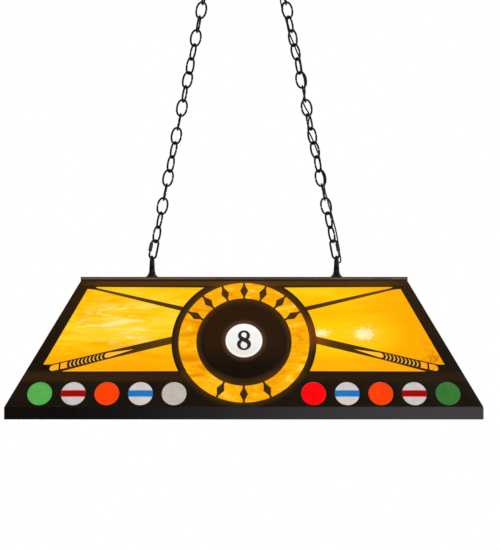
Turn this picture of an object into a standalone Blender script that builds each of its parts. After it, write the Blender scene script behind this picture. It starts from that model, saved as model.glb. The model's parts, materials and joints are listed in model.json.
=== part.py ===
"""Pool table lamp: an oblong steel shade with amber glass, hung on two chains from a ceiling canopy.

Metres, +Z up. The origin is the middle of the ceiling face, and the lamp hangs below it.
X runs along the lamp, and the front face looks along -Y.
"""

import math

import bmesh
import bpy
from mathutils import Matrix, Vector

INCH = 0.0254
GAP = 0.0003                      # between pieces that touch

# Shade
BASE_LENGTH = 48 * INCH
BASE_WIDTH = 17 * INCH
TOP_LENGTH = 34.5 * INCH
TOP_WIDTH = 5 * INCH
BAND_HEIGHT = 1.25 * INCH
LIP_HEIGHT = 0.4375 * INCH
SLOPE_RISE = 12.8125 * INCH
LAMP_HEIGHT = BAND_HEIGHT + SLOPE_RISE + LIP_HEIGHT
SHEET = 0.0015                    # steel sheet
BAND_SHEET = 0.002
BAND_FLANGE = 0.5 * INCH
GLASS = 0.003
ANGLE_FLANGE = 0.017

# Panel cut-outs, measured up the slope from the panel's bottom edge
WINDOW_LOW = 0.0975
WINDOW_HIGH = 0.342
BORDER = 0.0313                   # side border, along X
RING_CENTRE = 0.183
RING_OUTER = 0.1895
RING_GLASS_OUTER = 0.171
RING_GLASS_INNER = 0.1245
LENS_HOLE = 0.047
BALL_WINDOW = 1.25 * INCH
BALL_ROW = 0.0368
BALL_FIRST = 0.1785
BALL_PITCH = 0.0859
CUE_MIDDLE = 0.2345
CUE_SLOPE = 0.257

# Eight ball
BALL_FACE = 4.125 * INCH
LENS = 2 * INCH

# Hanging gear
LOOP_X = 0.252
CHAIN_LEAN = math.radians(11.03)
LINK_WIRE = 0.0028
LINK_PITCH = 0.0394
LINK_WIDTH = 0.0325
LINK_PRESS = 0.0010               # how far the end of each link sinks into the next
QUICK_WIRE = 0.0029
QUICK_LENGTH = 0.0565
QUICK_WIDTH = 0.0245
SLEEVE_LENGTH = 0.023
SLEEVE_RADIUS = 0.0057
QUICK_OPENING = 0.010
LOOP_HEIGHT = 0.061
LOOP_BAR = 0.0025
LOOP_HOLE = 0.016
LOOP_NECK = 0.0265
NIPPLE = 0.0048
CORD = 0.0042

# Canopy
CANOPY_LENGTH = 14 * INCH
CANOPY_WIDTH = 4.5 * INCH
CANOPY_DEPTH = 0.875 * INCH
CROSSBAR = (0.26, 0.0254, 0.003)
CANOPY_SCREW_X = 0.055

# Bulbs
SOCKET_X = (0.199, 0.325)
BULB_CENTRE = 0.220               # above the lamp's lowest edge
BULB_RADIUS = 0.030
BULB_BASE = 0.0131

# Turn of each link about the chain, in degrees from facing front, lowest link first
RIGHT_TURNS = (54, -60, 0, 84, 0, -63, 33, -42, 60, 0, 86, 0, -68, 33, -42, 58, 0, 80, 0)
LEFT_TURNS = (54, -62, 5, 90, -10, 58, -54, 22, -82, 5, 75, -20, 50, -58, 5, 82, 0, 80, 0)

# Distances along a chain, from the quick link's bottom bar
QUICK_BARS = QUICK_LENGTH - 2 * QUICK_WIRE
LINK_BARS = LINK_PITCH + 2 * LINK_WIRE
FIRST_BAR = QUICK_BARS - QUICK_WIRE - LINK_WIRE - GAP
CHAIN_LENGTH = FIRST_BAR + LINK_BARS + LINK_PITCH * (len(RIGHT_TURNS) - 1)

# Heights
CEILING_PIVOT_Z = -CANOPY_DEPTH - GAP - LOOP_HEIGHT + 2 * LOOP_BAR + GAP + LINK_WIRE
LAMP_PIVOT_Z = CEILING_PIVOT_Z - CHAIN_LENGTH * math.cos(CHAIN_LEAN)
LAMP_TOP = LAMP_PIVOT_Z - (LOOP_HEIGHT + GAP - 2 * LOOP_BAR - 2 * GAP - QUICK_WIRE)
LAMP_BOTTOM = LAMP_TOP - LAMP_HEIGHT
PANEL_FOOT = LAMP_BOTTOM + BAND_HEIGHT
PANEL_HEAD = PANEL_FOOT + SLOPE_RISE
CEILING_LOOP_X = LOOP_X - CHAIN_LENGTH * math.sin(CHAIN_LEAN)

COLOURS = {
    "black_steel": ((0.018, 0.014, 0.012, 1), 0.45, 0.6),
    "black_chain": ((0.012, 0.012, 0.012, 1), 0.4, 0.7),
    "zinc_steel": ((0.55, 0.55, 0.56, 1), 0.35, 1.0),
    "amber_glass": ((0.95, 0.45, 0.03, 1), 0.15, 0.0),
    "white_acrylic": ((0.85, 0.83, 0.78, 1), 0.3, 0.0),
    "bulb_glass": ((0.95, 0.93, 0.88, 1), 0.2, 0.0),
    "socket_phenolic": ((0.02, 0.02, 0.02, 1), 0.5, 0.0),
    "cord_jacket": ((0.02, 0.018, 0.018, 1), 0.6, 0.0),
}


def clear_scene():
    for obj in list(bpy.data.objects):
        bpy.data.objects.remove(obj)


def material(name):
    found = bpy.data.materials.get(name)
    if found:
        return found
    made = bpy.data.materials.new(name)
    made.use_nodes = True
    colour, roughness, metallic = COLOURS[name]
    shader = made.node_tree.nodes["Principled BSDF"]
    shader.inputs["Base Color"].default_value = colour
    shader.inputs["Roughness"].default_value = roughness
    shader.inputs["Metallic"].default_value = metallic
    return made


def add_object(name, bm, finish, place=Matrix(), smooth=False):
    """One named object from a bmesh, with its faces turned out."""
    bmesh.ops.recalc_face_normals(bm, faces=bm.faces)
    mesh = bpy.data.meshes.new(name)
    bm.to_mesh(mesh)
    bm.free()
    mesh.materials.append(material(finish))
    if smooth:
        mesh.shade_smooth()
        mesh.set_sharp_from_angle(angle=math.radians(35))
    obj = bpy.data.objects.new(name, mesh)
    obj.matrix_world = place
    bpy.context.scene.collection.objects.link(obj)
    return obj


def helper(obj):
    """Marks a cutter or another guide, which is no part of the lamp."""
    obj.hide_render = True
    obj.display_type = "WIRE"
    return obj


def boolean(obj, other, operation="DIFFERENCE"):
    modifier = obj.modifiers.new(operation.lower(), "BOOLEAN")
    modifier.operation = operation
    modifier.solver = "EXACT"
    modifier.object = other


def block(bm, low, high):
    """A box between two corners."""
    low, high = Vector(low), Vector(high)
    made = bmesh.ops.create_cube(bm, size=1)["verts"]
    bmesh.ops.scale(bm, vec=high - low, verts=made)
    bmesh.ops.translate(bm, vec=(low + high) / 2, verts=made)
    return made


def rod(bm, radius, low, high, at=(0, 0), sides=16):
    """A round bar along Z."""
    made = bmesh.ops.create_cone(
        bm, cap_ends=True, segments=sides, radius1=radius, radius2=radius, depth=high - low
    )["verts"]
    bmesh.ops.translate(bm, vec=(at[0], at[1], (low + high) / 2), verts=made)
    return made


def turned(bm, profile, sides):
    """A closed profile of (radius, height) points turned about Z. Points on the axis become one point."""
    rings = []
    for radius, height in profile:
        if radius == 0:
            rings.append([bm.verts.new((0, 0, height))])
            continue
        angles = [2 * math.pi * i / sides for i in range(sides)]
        rings.append(
            [bm.verts.new((radius * math.cos(a), radius * math.sin(a), height)) for a in angles]
        )
    for first, second in zip(rings, rings[1:] + rings[:1]):
        if len(first) == 1 and len(second) == 1:
            continue
        for i in range(sides):
            j = (i + 1) % sides
            corners = [first[i % len(first)], first[j % len(first)]]
            corners += [second[j % len(second)], second[i % len(second)]]
            bm.faces.new(list(dict.fromkeys(corners)))


def plate(bm, outline, holes, low, high):
    """A flat plate with holes, between two heights along Z."""
    edges = []
    for loop in [outline] + holes:
        verts = [bm.verts.new((x, y, low)) for x, y in loop]
        edges += [bm.edges.new((a, b)) for a, b in zip(verts, verts[1:] + verts[:1])]
    sheet = bmesh.ops.triangle_fill(bm, use_beauty=True, edges=edges, normal=(0, 0, -1))
    faces = [item for item in sheet["geom"] if isinstance(item, bmesh.types.BMFace)]
    raised = bmesh.ops.extrude_face_region(bm, geom=faces, use_keep_orig=True)
    verts = [item for item in raised["geom"] if isinstance(item, bmesh.types.BMVert)]
    bmesh.ops.translate(bm, vec=(0, 0, high - low), verts=verts)


def arc(centre, radius, start, end, steps):
    """Points on a circle, angles in degrees."""
    angles = [math.radians(start + (end - start) * i / steps) for i in range(steps + 1)]
    return [(centre[0] + radius * math.cos(a), centre[1] + radius * math.sin(a)) for a in angles]


def circle(centre, radius, sides):
    return arc(centre, radius, 0, 360, sides)[:-1]


def mirrored(loop):
    return [(-x, y) for x, y in reversed(loop)]


def tube_loop(bm, path, across, normal, widths, sides, closed=True):
    """A bar bent along a flat path. widths holds the bar's two half widths at each point."""
    rings = []
    count = len(path)
    for i, point in enumerate(path):
        before = path[i - 1] if closed or i else path[i]
        after = path[(i + 1) % count] if closed or i < count - 1 else path[i]
        ahead = (after - before).normalized()
        side = ahead.cross(normal).normalized()
        ring = []
        for k in range(sides):
            angle = 2 * math.pi * (k + 0.5) / sides
            offset = side * widths[i][0] * math.cos(angle) + across * widths[i][1] * math.sin(angle)
            ring.append(bm.verts.new(point + offset))
        rings.append(ring)
    pairs = list(zip(rings, rings[1:] + rings[:1])) if closed else list(zip(rings, rings[1:]))
    for first, second in pairs:
        for k in range(sides):
            j = (k + 1) % sides
            bm.faces.new((first[k], first[j], second[j], second[k]))
    if not closed:
        bm.faces.new(rings[0])
        bm.faces.new(reversed(rings[-1]))


# ---------------------------------------------------------------- sloped panels

def slope_frame(run, half_base, turn):
    """Places a panel drawn flat: X across, Y up the slope, Z outwards."""
    length = math.hypot(run, SLOPE_RISE)
    across = Vector((1, 0, 0))
    upward = Vector((0, run, SLOPE_RISE)) / length
    outward = across.cross(upward)
    frame = Matrix((across, upward, outward)).transposed().to_4x4()
    frame.translation = (0, -half_base, PANEL_FOOT)
    return Matrix.Rotation(turn, 4, "Z") @ frame


FRONT_RUN = (BASE_WIDTH - TOP_WIDTH) / 2
END_RUN = (BASE_LENGTH - TOP_LENGTH) / 2
FRONT_SLOPE = math.hypot(FRONT_RUN, SLOPE_RISE)
END_SLOPE = math.hypot(END_RUN, SLOPE_RISE)
FRONT = slope_frame(FRONT_RUN, BASE_WIDTH / 2, 0)
BACK = slope_frame(FRONT_RUN, BASE_WIDTH / 2, math.pi)
RIGHT_END = slope_frame(END_RUN, BASE_LENGTH / 2, math.pi / 2)
LEFT_END = slope_frame(END_RUN, BASE_LENGTH / 2, -math.pi / 2)
PANEL_LOW = 0.0011                # foot and head of a panel, clear of the band and the lip
HEAD_ROOM = 0.0005
HIP_SETBACK = 0.0017              # edge of a panel from the corner line


def front_edge(height):
    """Half length of the front face at a height up its slope."""
    return BASE_LENGTH / 2 - END_RUN * height / FRONT_SLOPE


def end_edge(height):
    return BASE_WIDTH / 2 - FRONT_RUN * height / END_SLOPE


def panel_outline(edge, slope):
    low, high = PANEL_LOW, slope - HEAD_ROOM
    return [
        (-edge(low) + HIP_SETBACK, low),
        (edge(low) - HIP_SETBACK, low),
        (edge(high) - HIP_SETBACK, high),
        (-edge(high) + HIP_SETBACK, high),
    ]


def cue_centre(x):
    """Height of the cue whose butt is at the left."""
    return CUE_MIDDLE + CUE_SLOPE * x


def cue_half(x):
    """Half the height of the cue's cross cut, thick at the butt and thin at the tip."""
    stations = ((-0.5, 0.0114), (-0.36, 0.0112), (-0.19, 0.0100), (0.165, 0.0048), (0.405, 0.0023))
    for (x0, h0), (x1, h1) in zip(stations, stations[1:]):
        if x <= x1:
            return h0 + (h1 - h0) * (x - x0) / (x1 - x0)
    return stations[-1][1]


def ring_angle(x, y):
    return math.degrees(math.atan2(y - RING_CENTRE, x))


def left_windows():
    """The three openings left of the ring, and the small openings in the cue's butt."""
    centre = (0, RING_CENTRE)
    inner = lambda height: front_edge(height) - BORDER
    tip_top = lambda x: cue_centre(-x) + cue_half(-x)
    tip_low = lambda x: cue_centre(-x) - cue_half(-x)
    butt_top = lambda x: cue_centre(x) + cue_half(x)
    butt_low = lambda x: cue_centre(x) - cue_half(x)
    upper = arc(centre, RING_OUTER, ring_angle(-0.107, WINDOW_HIGH), ring_angle(-0.160, 0.282), 5)
    upper += [(-0.392, tip_top(-0.392)), (-0.398, WINDOW_HIGH)]
    middle = arc(centre, RING_OUTER, ring_angle(-0.168, 0.272), ring_angle(-0.189, 0.1965), 5)
    middle += [(-0.36, butt_top(-0.36)), (-0.5, butt_top(-0.5)), (-0.5195, 0.117)]
    middle += [(-inner(0.336), 0.336), (-0.400, tip_low(-0.400))]
    lower = arc(centre, RING_OUTER, ring_angle(-0.1895, 0.176) + 360, ring_angle(-0.171, 0.098) + 360, 5)
    lower += [(-0.473, WINDOW_LOW), (-0.36, butt_low(-0.36))]
    return [upper, middle, lower]


def butt_openings():
    """Cut-outs inside the left cue's butt: a pointed slot, nine slits, a patch and a cap."""
    place = lambda x, y: (x, cue_centre(x) + y)
    slot = [place(-0.284, -0.0005), place(-0.352, 0.0070), place(-0.361, 0.0045)]
    slot += [place(-0.361, -0.0045), place(-0.352, -0.0070)]
    slits = []
    for i in range(9):
        x = -0.3655 - 0.0099 * i
        slit = [place(x, 0.0085), place(x - 0.0038, 0), place(x, -0.0085)]
        slit += [place(x - 0.0028, -0.0085), place(x - 0.0070, 0), place(x - 0.0028, 0.0085)]
        slits.append(slit)
    patch = [place(-0.4565, 0.0085), place(-0.4565, -0.0085), place(-0.4745, -0.0085)]
    patch += [place(-0.4745, 0.0085)]
    cap = [place(-0.4790, 0.0085), place(-0.4790, -0.0085), place(-0.4960, -0.0080)]
    cap += [place(-0.5020, -0.0030), place(-0.5020, 0.0040), place(-0.4960, 0.0080)]
    return [slot, patch, cap] + slits


def ring_windows():
    """The amber ring: two plain arcs, and rows of lozenges that tie the middle to the ring."""
    centre = (0, RING_CENTRE)
    middle = (RING_GLASS_OUTER + RING_GLASS_INNER) / 2
    stem, half_width, half_height = 0.0028, 0.0105, 0.0165
    upper = [150 - 20 * i for i in range(7)]
    lower = [-66 - 24 * i for i in range(3)]
    stops = upper + lower
    windows = []
    for start, end in zip(stops, stops[1:] + [stops[0] - 360]):
        side = lambda radius, away: math.degrees(away / radius)
        steps = max(2, round((start - end) / 12))
        loop = arc(
            centre, RING_GLASS_OUTER,
            start - side(RING_GLASS_OUTER, stem), end + side(RING_GLASS_OUTER, stem), steps,
        )
        right = [(middle + half_height, stem), (middle, half_width), (middle - half_height, stem)]
        for radius, away in right:
            loop += arc(centre, radius, end + side(radius, away), end, 1)[:1]
        loop += arc(
            centre, RING_GLASS_INNER,
            end + side(RING_GLASS_INNER, stem), start - side(RING_GLASS_INNER, stem), steps,
        )
        for radius, away in reversed(right):
            loop += arc(centre, radius, start - side(radius, away), start, 1)[:1]
        windows.append(loop)
    return windows


def ball_places():
    return [BALL_FIRST + BALL_PITCH * i for i in range(5)]


def front_holes():
    left = left_windows() + butt_openings()
    holes = left + [mirrored(loop) for loop in left] + ring_windows()
    holes.append(circle((0, RING_CENTRE), LENS_HOLE, 24))
    for x in ball_places():
        holes += [circle((x, BALL_ROW), BALL_WINDOW, 16), circle((-x, BALL_ROW), BALL_WINDOW, 16)]
    return holes


def end_holes():
    low, high = end_edge(WINDOW_LOW) - BORDER, end_edge(WINDOW_HIGH) - BORDER
    window = [(-low, WINDOW_LOW), (low, WINDOW_LOW), (high, WINDOW_HIGH), (-high, WINDOW_HIGH)]
    return [window] + [circle((BALL_PITCH * i, BALL_ROW), BALL_WINDOW, 16) for i in (-1, 0, 1)]


def panel(name, frame, edge, slope, holes):
    bm = bmesh.new()
    plate(bm, panel_outline(edge, slope), holes, -SHEET, 0)
    add_object(name, bm, "black_steel", frame)


def backing(name, frame, outline, finish, holes=()):
    """A pane or strip that lies behind a panel."""
    bm = bmesh.new()
    plate(bm, outline, list(holes), -SHEET - GAP - GLASS, -SHEET - GAP)
    add_object(name, bm, finish, frame)


def side_pane():
    """Left pane of a long face, with its curved edge round the ring glass."""
    low, high, bend = 0.088, 0.351, 0.183
    start = math.degrees(math.asin((low - RING_CENTRE) / bend))
    end = math.degrees(math.asin((high - RING_CENTRE) / bend))
    curve = arc((0, RING_CENTRE), bend, 180 - start, 180 - end, 14)
    return curve + [(-front_edge(high) + 0.022, high), (-front_edge(low) + 0.022, low)]


def make_long_face(side, frame):
    panel(side + "_panel", frame, front_edge, FRONT_SLOPE, front_holes())
    pane = side_pane()
    backing("glass_" + side + "_left", frame, pane, "amber_glass")
    backing("glass_" + side + "_right", frame, mirrored(pane), "amber_glass")
    head = FRONT_SLOPE - 0.003
    ring = [(x, min(y, head)) for x, y in circle((0, RING_CENTRE), 0.1765, 40)]
    hole = circle((0, RING_CENTRE), 0.117, 28)
    backing("glass_" + side + "_ring", frame, ring, "amber_glass", [hole])
    low, high = 0.0035, 0.0705
    near, far = BALL_FIRST - 0.036, ball_places()[-1] + 0.036
    strip = [(near, low), (far + 0.012, low), (far - 0.009, high), (near, high)]
    backing("ball_strip_" + side + "_left", frame, mirrored(strip), "white_acrylic")
    backing("ball_strip_" + side + "_right", frame, strip, "white_acrylic")
    make_eight_ball(side, frame)


def make_eight_ball(side, frame):
    place = frame @ Matrix.Translation((0, RING_CENTRE, GAP))
    bm = bmesh.new()
    rim = [(LENS + 0.0004, 0), (BALL_FACE, 0), (BALL_FACE, 0.0024), (BALL_FACE - 0.002, 0.004)]
    turned(bm, rim + [(LENS + 0.0004, 0.0056)], 28)
    add_object("eight_ball_" + side, bm, "black_steel", place, smooth=True)
    bm = bmesh.new()
    turned(bm, [(0, 0), (LENS, 0), (LENS, 0.0044), (LENS - 0.002, 0.0054), (0, 0.006)], 28)
    add_object("number_lens_" + side, bm, "white_acrylic", place, smooth=True)


def make_end(side, frame):
    panel("end_panel_" + side, frame, end_edge, END_SLOPE, end_holes())
    low, high = 0.088, 0.351
    near, far = end_edge(low) - 0.022, end_edge(high) - 0.022
    pane = [(-near, low), (near, low), (far, high), (-far, high)]
    backing("glass_end_" + side, frame, pane, "amber_glass")
    reach = BALL_PITCH + 0.036
    strip = [(-reach, 0.0035), (reach, 0.0035), (reach, 0.0705), (-reach, 0.0705)]
    backing("ball_strip_end_" + side, frame, strip, "white_acrylic")


def make_corner_angle(name, x_side, y_side):
    """A bent strip inside a corner of the shade, behind both panels."""
    foot = Vector((x_side * BASE_LENGTH / 2, y_side * BASE_WIDTH / 2, PANEL_FOOT))
    head = Vector((x_side * TOP_LENGTH / 2, y_side * TOP_WIDTH / 2, PANEL_HEAD))
    along = (head - foot).normalized()
    long_normal = Vector((0, y_side * SLOPE_RISE, FRONT_RUN)).normalized()
    end_normal = Vector((x_side * SLOPE_RISE, 0, END_RUN)).normalized()
    to_long = along.cross(long_normal)
    to_long *= -math.copysign(1, to_long.x * x_side)
    to_end = along.cross(end_normal)
    to_end *= -math.copysign(1, to_end.y * y_side)
    cosine = long_normal.dot(end_normal)

    def corner(depth):
        return -(long_normal + end_normal) * depth / (1 + cosine)

    near, far = SHEET + GAP, 2 * SHEET + GAP
    section = [
        corner(near),
        corner(near) + to_long * ANGLE_FLANGE,
        corner(near) + to_long * ANGLE_FLANGE - long_normal * SHEET,
        corner(far),
        corner(near) + to_end * ANGLE_FLANGE - end_normal * SHEET,
        corner(near) + to_end * ANGLE_FLANGE,
    ]
    start, stop = foot + along * 0.010, head - along * 0.016
    bm = bmesh.new()
    rings = [[bm.verts.new(end + point) for point in section] for end in (start, stop)]
    for i in range(6):
        j = (i + 1) % 6
        bm.faces.new((rings[0][i], rings[0][j], rings[1][j], rings[1][i]))
    for ring in rings:
        bm.faces.new((ring[0], ring[1], ring[2], ring[3]))
        bm.faces.new((ring[0], ring[3], ring[4], ring[5]))
    add_object(name, bm, "black_steel")


def make_bottom_band():
    """Upright band with a flange turned in at its foot."""
    section = [
        (0, 0), (0, BAND_HEIGHT), (BAND_SHEET, BAND_HEIGHT), (BAND_SHEET, BAND_SHEET),
        (BAND_FLANGE, BAND_SHEET), (BAND_FLANGE, 0),
    ]
    bm = bmesh.new()
    rings = []
    for x_side, y_side in ((1, 1), (-1, 1), (-1, -1), (1, -1)):
        rings.append([
            bm.verts.new((
                x_side * (BASE_LENGTH / 2 - inset), y_side * (BASE_WIDTH / 2 - inset),
                LAMP_BOTTOM + height,
            ))
            for inset, height in section
        ])
    for first, second in zip(rings, rings[1:] + rings[:1]):
        for i in range(6):
            j = (i + 1) % 6
            bm.faces.new((first[i], first[j], second[j], second[i]))
    add_object("bottom_band", bm, "black_steel")


def make_top_plate():
    """Shallow pan turned over, with holes for the loops and short vent slots."""
    bm = bmesh.new()
    block(bm, (-TOP_LENGTH / 2, -TOP_WIDTH / 2, PANEL_HEAD), (TOP_LENGTH / 2, TOP_WIDTH / 2, LAMP_TOP))
    plate_object = add_object("top_plate", bm, "black_steel")
    inside = bmesh.new()
    block(
        inside,
        (-TOP_LENGTH / 2 + SHEET, -TOP_WIDTH / 2 + SHEET, PANEL_HEAD - 0.01),
        (TOP_LENGTH / 2 - SHEET, TOP_WIDTH / 2 - SHEET, LAMP_TOP - SHEET),
    )
    boolean(plate_object, helper(add_object("top_plate_inside", inside, "black_steel")))
    holes = bmesh.new()
    for side in (-1, 1):
        rod(holes, NIPPLE + 2 * GAP, LAMP_TOP - 0.005, LAMP_TOP + 0.005, (side * LOOP_X, 0))
        for x in SOCKET_X:
            for y in (-0.036, 0.036):
                low = (side * x - 0.018, y - 0.0025, LAMP_TOP - 0.005)
                block(holes, low, (side * x + 0.018, y + 0.0025, LAMP_TOP + 0.005))
    boolean(plate_object, helper(add_object("top_plate_holes", holes, "black_steel")))


# ---------------------------------------------------------------- loops, links and chains

def loop_shape(bm):
    """A cast loop standing on Z = 0, with its ring in the YZ plane."""
    bar_centre = LOOP_HEIGHT - LOOP_BAR
    half_hole = LOOP_HOLE / 2
    side = 0.0028
    bend = half_hole + side
    low = LOOP_NECK - side
    top = bar_centre - bend
    path, widths = [], []
    for i in range(9):
        angle = math.pi * i / 8
        path.append(Vector((0, bend * math.cos(angle), top + bend * math.sin(angle))))
        lift = math.sin(angle)
        widths.append((side + (LOOP_BAR - side) * lift, 0.0045 + (0.0028 - 0.0045) * lift))
    for i in range(7):
        angle = math.pi + math.pi * i / 6
        path.append(Vector((0, bend * math.cos(angle), low + bend * (1 + math.sin(angle)))))
        widths.append((side, 0.0055))
    tube_loop(bm, path, Vector((1, 0, 0)), Vector((1, 0, 0)), widths, 8)


def make_loop(name, place, nipple_length):
    bm = bmesh.new()
    profile = [(0, 0), (0.016, 0), (0.016, 0.002), (0.0105, 0.0095), (0.0082, 0.014)]
    profile += [(0.0074, LOOP_NECK), (0, LOOP_NECK)]
    turned(bm, profile, 14)
    loop = add_object(name, bm, "black_chain", place, smooth=True)
    ring = bmesh.new()
    loop_shape(ring)
    boolean(loop, helper(add_object(name + "_ring", ring, "black_chain", place)), "UNION")
    shank = bmesh.new()
    rod(shank, NIPPLE, -nipple_length, 0.004, sides=10)
    boolean(loop, helper(add_object(name + "_shank", shank, "black_chain", place)), "UNION")


def chain_frame(side):
    """Chain coordinates: X away from the lamp's middle, Z up along the chain, from its lower pivot."""
    outward = Vector((side * math.cos(CHAIN_LEAN), 0, math.sin(CHAIN_LEAN)))
    upward = Vector((-side * math.sin(CHAIN_LEAN), 0, math.cos(CHAIN_LEAN)))
    frame = Matrix((outward, Vector((0, 1, 0)), upward)).transposed().to_4x4()
    frame.translation = (side * LOOP_X, 0, LAMP_PIVOT_Z)
    return frame


def link_shape(bm, frame, turn, middle, low_reach, high_reach):
    """An oval link with short straight end bars, whose centres lie at its low and high reach."""
    half = LINK_WIDTH / 2 - LINK_WIRE
    twist = frame @ Matrix.Rotation(math.radians(turn), 4, "Z")
    normal = twist.to_3x3() @ Vector((0, 1, 0))
    path = []
    for i in range(12):
        angle = math.pi * (i + 0.5) / 6
        spread = math.copysign(abs(math.cos(angle)) ** 0.9, math.cos(angle))
        lift = math.sin(angle) / math.sin(math.pi * 5 / 12)
        reach = high_reach if i < 6 else low_reach
        path.append(twist @ Vector((half * spread, 0, middle + reach * lift)))
    tube_loop(bm, path, normal, normal, [(LINK_WIRE, LINK_WIRE)] * 12, 4)


def make_chain(name, side, turns):
    """One body: each link is a little short, so that its bars press into the links beside it."""
    frame = chain_frame(side)
    odd, even = bmesh.new(), bmesh.new()
    full = LINK_BARS / 2
    last = len(turns) - 1
    for i, turn in enumerate(turns):
        middle = FIRST_BAR + full + LINK_PITCH * i
        low_reach = full - (LINK_PRESS if i > 0 else 0)
        high_reach = full - (LINK_PRESS if i < last else 0)
        link_shape(even if i % 2 else odd, frame, side * turn, middle, low_reach, high_reach)
    chain = add_object(name, odd, "black_chain")
    boolean(chain, helper(add_object(name + "_even_links", even, "black_chain")), "UNION")


def quick_link_path():
    """From the opening's upper end over the top, down the far side and round to its lower end."""
    bend = QUICK_WIDTH / 2 - QUICK_WIRE
    straight = QUICK_LENGTH / 2 - QUICK_WIDTH / 2
    middle = QUICK_BARS / 2
    top = middle + straight - 0.0015
    points = [(bend, top)]
    points += arc((0, middle + straight), bend, 0, 180, 8)
    points += arc((0, middle - straight), bend, 180, 360, 8)
    points += [(bend, top - QUICK_OPENING)]
    return points


def make_quick_link(side_name, side):
    frame = chain_frame(side)
    path = [frame @ Vector((x, 0, z)) for x, z in quick_link_path()]
    normal = Vector((0, 1, 0))
    bm = bmesh.new()
    tube_loop(bm, path, normal, normal, [(QUICK_WIRE, QUICK_WIRE)] * len(path), 8, closed=False)
    add_object("quick_link_" + side_name, bm, "black_chain", smooth=True)
    high = QUICK_BARS / 2 + QUICK_LENGTH / 2 - QUICK_WIDTH / 2
    low = high - SLEEVE_LENGTH
    bore = QUICK_WIRE + GAP
    bm = bmesh.new()
    turned(bm, [(bore, low), (SLEEVE_RADIUS, low), (SLEEVE_RADIUS, high), (bore, high)], 12)
    place = frame @ Matrix.Translation((QUICK_WIDTH / 2 - QUICK_WIRE, 0, 0))
    add_object("quick_sleeve_" + side_name, bm, "black_chain", place, smooth=True)


# ---------------------------------------------------------------- power cord

# Route along the right chain: link number, outward and back from the chain's axis in millimetres
CORD_ROUTE = (
    (19.35, -13, 8), (19.1, -13.5, 8), (18.8, -14, 7), (18.5, -14, 5), (18.0, -13, 3.5),
    (17.5, -13, 4.5), (17.0, -13, 6), (16.5, -9, 5.5), (16.0, -8, 3), (15.5, -8, -1),
    (15.0, -3.5, 3.5), (14.5, 1, 8), (14.0, 4, 3), (13.5, 7.6, -2.4), (13.0, 8, 0),
    (12.5, 7.5, 6.5), (12.0, 9.5, 6), (11.5, 6.5, 5.5), (11.0, 3, 0), (10.5, -6.6, -5.8),
    (10.0, -3.5, -6), (9.5, 2.5, -7.5), (9.0, -2.5, -4.5), (8.5, -7.9, -1), (8.0, -3, 3),
    (7.5, 2, 8), (7.0, 5, 3.2), (6.5, 7.7, -2.1), (6.0, 8, 0.5), (5.5, 7, 6.3),
    (5.0, 9.5, 6), (4.5, 6.3, 5.7), (4.0, 5, 0), (3.5, 6.3, -5.7), (3.0, 7, -6),
    (2.5, 9.5, -5.6), (2.0, 11.5, 1), (1.5, 13, 4), (1.0, 13.8, 6), (0.5, 13.6, 8),
    (0.2, 13, 8.4), (-0.15, 12.4, 8.6), (-0.4, 12, 8.6), (-0.62, 12, 7.8),
)
CORD_CROSSING = 0.012             # height of the cord above or below a pivot where it leaves the loop
CORD_EXIT = 0.0035                # its distance there from the loop's middle, along X
CORD_BEND = 0.0082
CORD_TILT = math.radians(40)      # how far the bend outside each loop leans back
CORD_END_BEND = 0.0055
CORD_LEAD = 0.0008                # straight stretch at each cut end


def cord_points():
    """The cord's own points, from the ceiling loop to the lamp's loop."""
    frame = chain_frame(1)
    top = Vector((CEILING_LOOP_X, 0, CEILING_PIVOT_Z))
    bottom = Vector((LOOP_X, 0, LAMP_PIVOT_Z))
    start = CORD_EXIT + CORD_LEAD
    corner = [(CORD_EXIT, 0)] + arc((start, CORD_BEND), CORD_BEND, 270, 360, 5)
    head, tail = [], []
    for out, rise in corner:
        back, up = rise * math.sin(CORD_TILT), rise * math.cos(CORD_TILT) - CORD_CROSSING
        head.append(top + Vector((-out, back, -up)))
        tail.insert(0, bottom + Vector((out, back, up)))
    route = []
    for link, out, back in CORD_ROUTE:
        along = FIRST_BAR + LINK_BARS / 2 + LINK_PITCH * (link - 1)
        route.append(frame @ Vector((out / 1000, back / 1000, along)))
    middle = smooth_curve(head[-2:] + route + tail[:2], 3 * CORD)
    return head[:-1] + middle + tail[1:]


def smooth_curve(points, spacing):
    """Evenly spaced points on a smooth curve. The first and last points given only steer its ends."""
    dense = []
    for a, b, c, d in zip(points, points[1:], points[2:], points[3:]):
        for i in range(24):
            t = i / 24
            dense.append(0.5 * (
                2 * b + (c - a) * t + (2 * a - 5 * b + 4 * c - d) * t * t
                + (3 * b - a - 3 * c + d) * t ** 3
            ))
    dense.append(points[-2])
    lengths = [0]
    for a, b in zip(dense, dense[1:]):
        lengths.append(lengths[-1] + (b - a).length)
    count = round(lengths[-1] / spacing)
    found, k = [], 0
    for i in range(count + 1):
        want = lengths[-1] * i / count
        while k < len(dense) - 2 and lengths[k + 1] < want:
            k += 1
        share = (want - lengths[k]) / (lengths[k + 1] - lengths[k])
        found.append(dense[k].lerp(dense[k + 1], share))
    return found


def add_cord(name, points):
    curve = bpy.data.curves.new(name, "CURVE")
    curve.dimensions = "3D"
    curve.bevel_depth = CORD / 2
    curve.bevel_resolution = 2
    curve.use_fill_caps = True
    spline = curve.splines.new("POLY")
    spline.points.add(len(points) - 1)
    for spot, point in zip(spline.points, points):
        spot.co = (*point, 1)
    curve.materials.append(material("cord_jacket"))
    bpy.context.scene.collection.objects.link(bpy.data.objects.new(name, curve))


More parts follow.
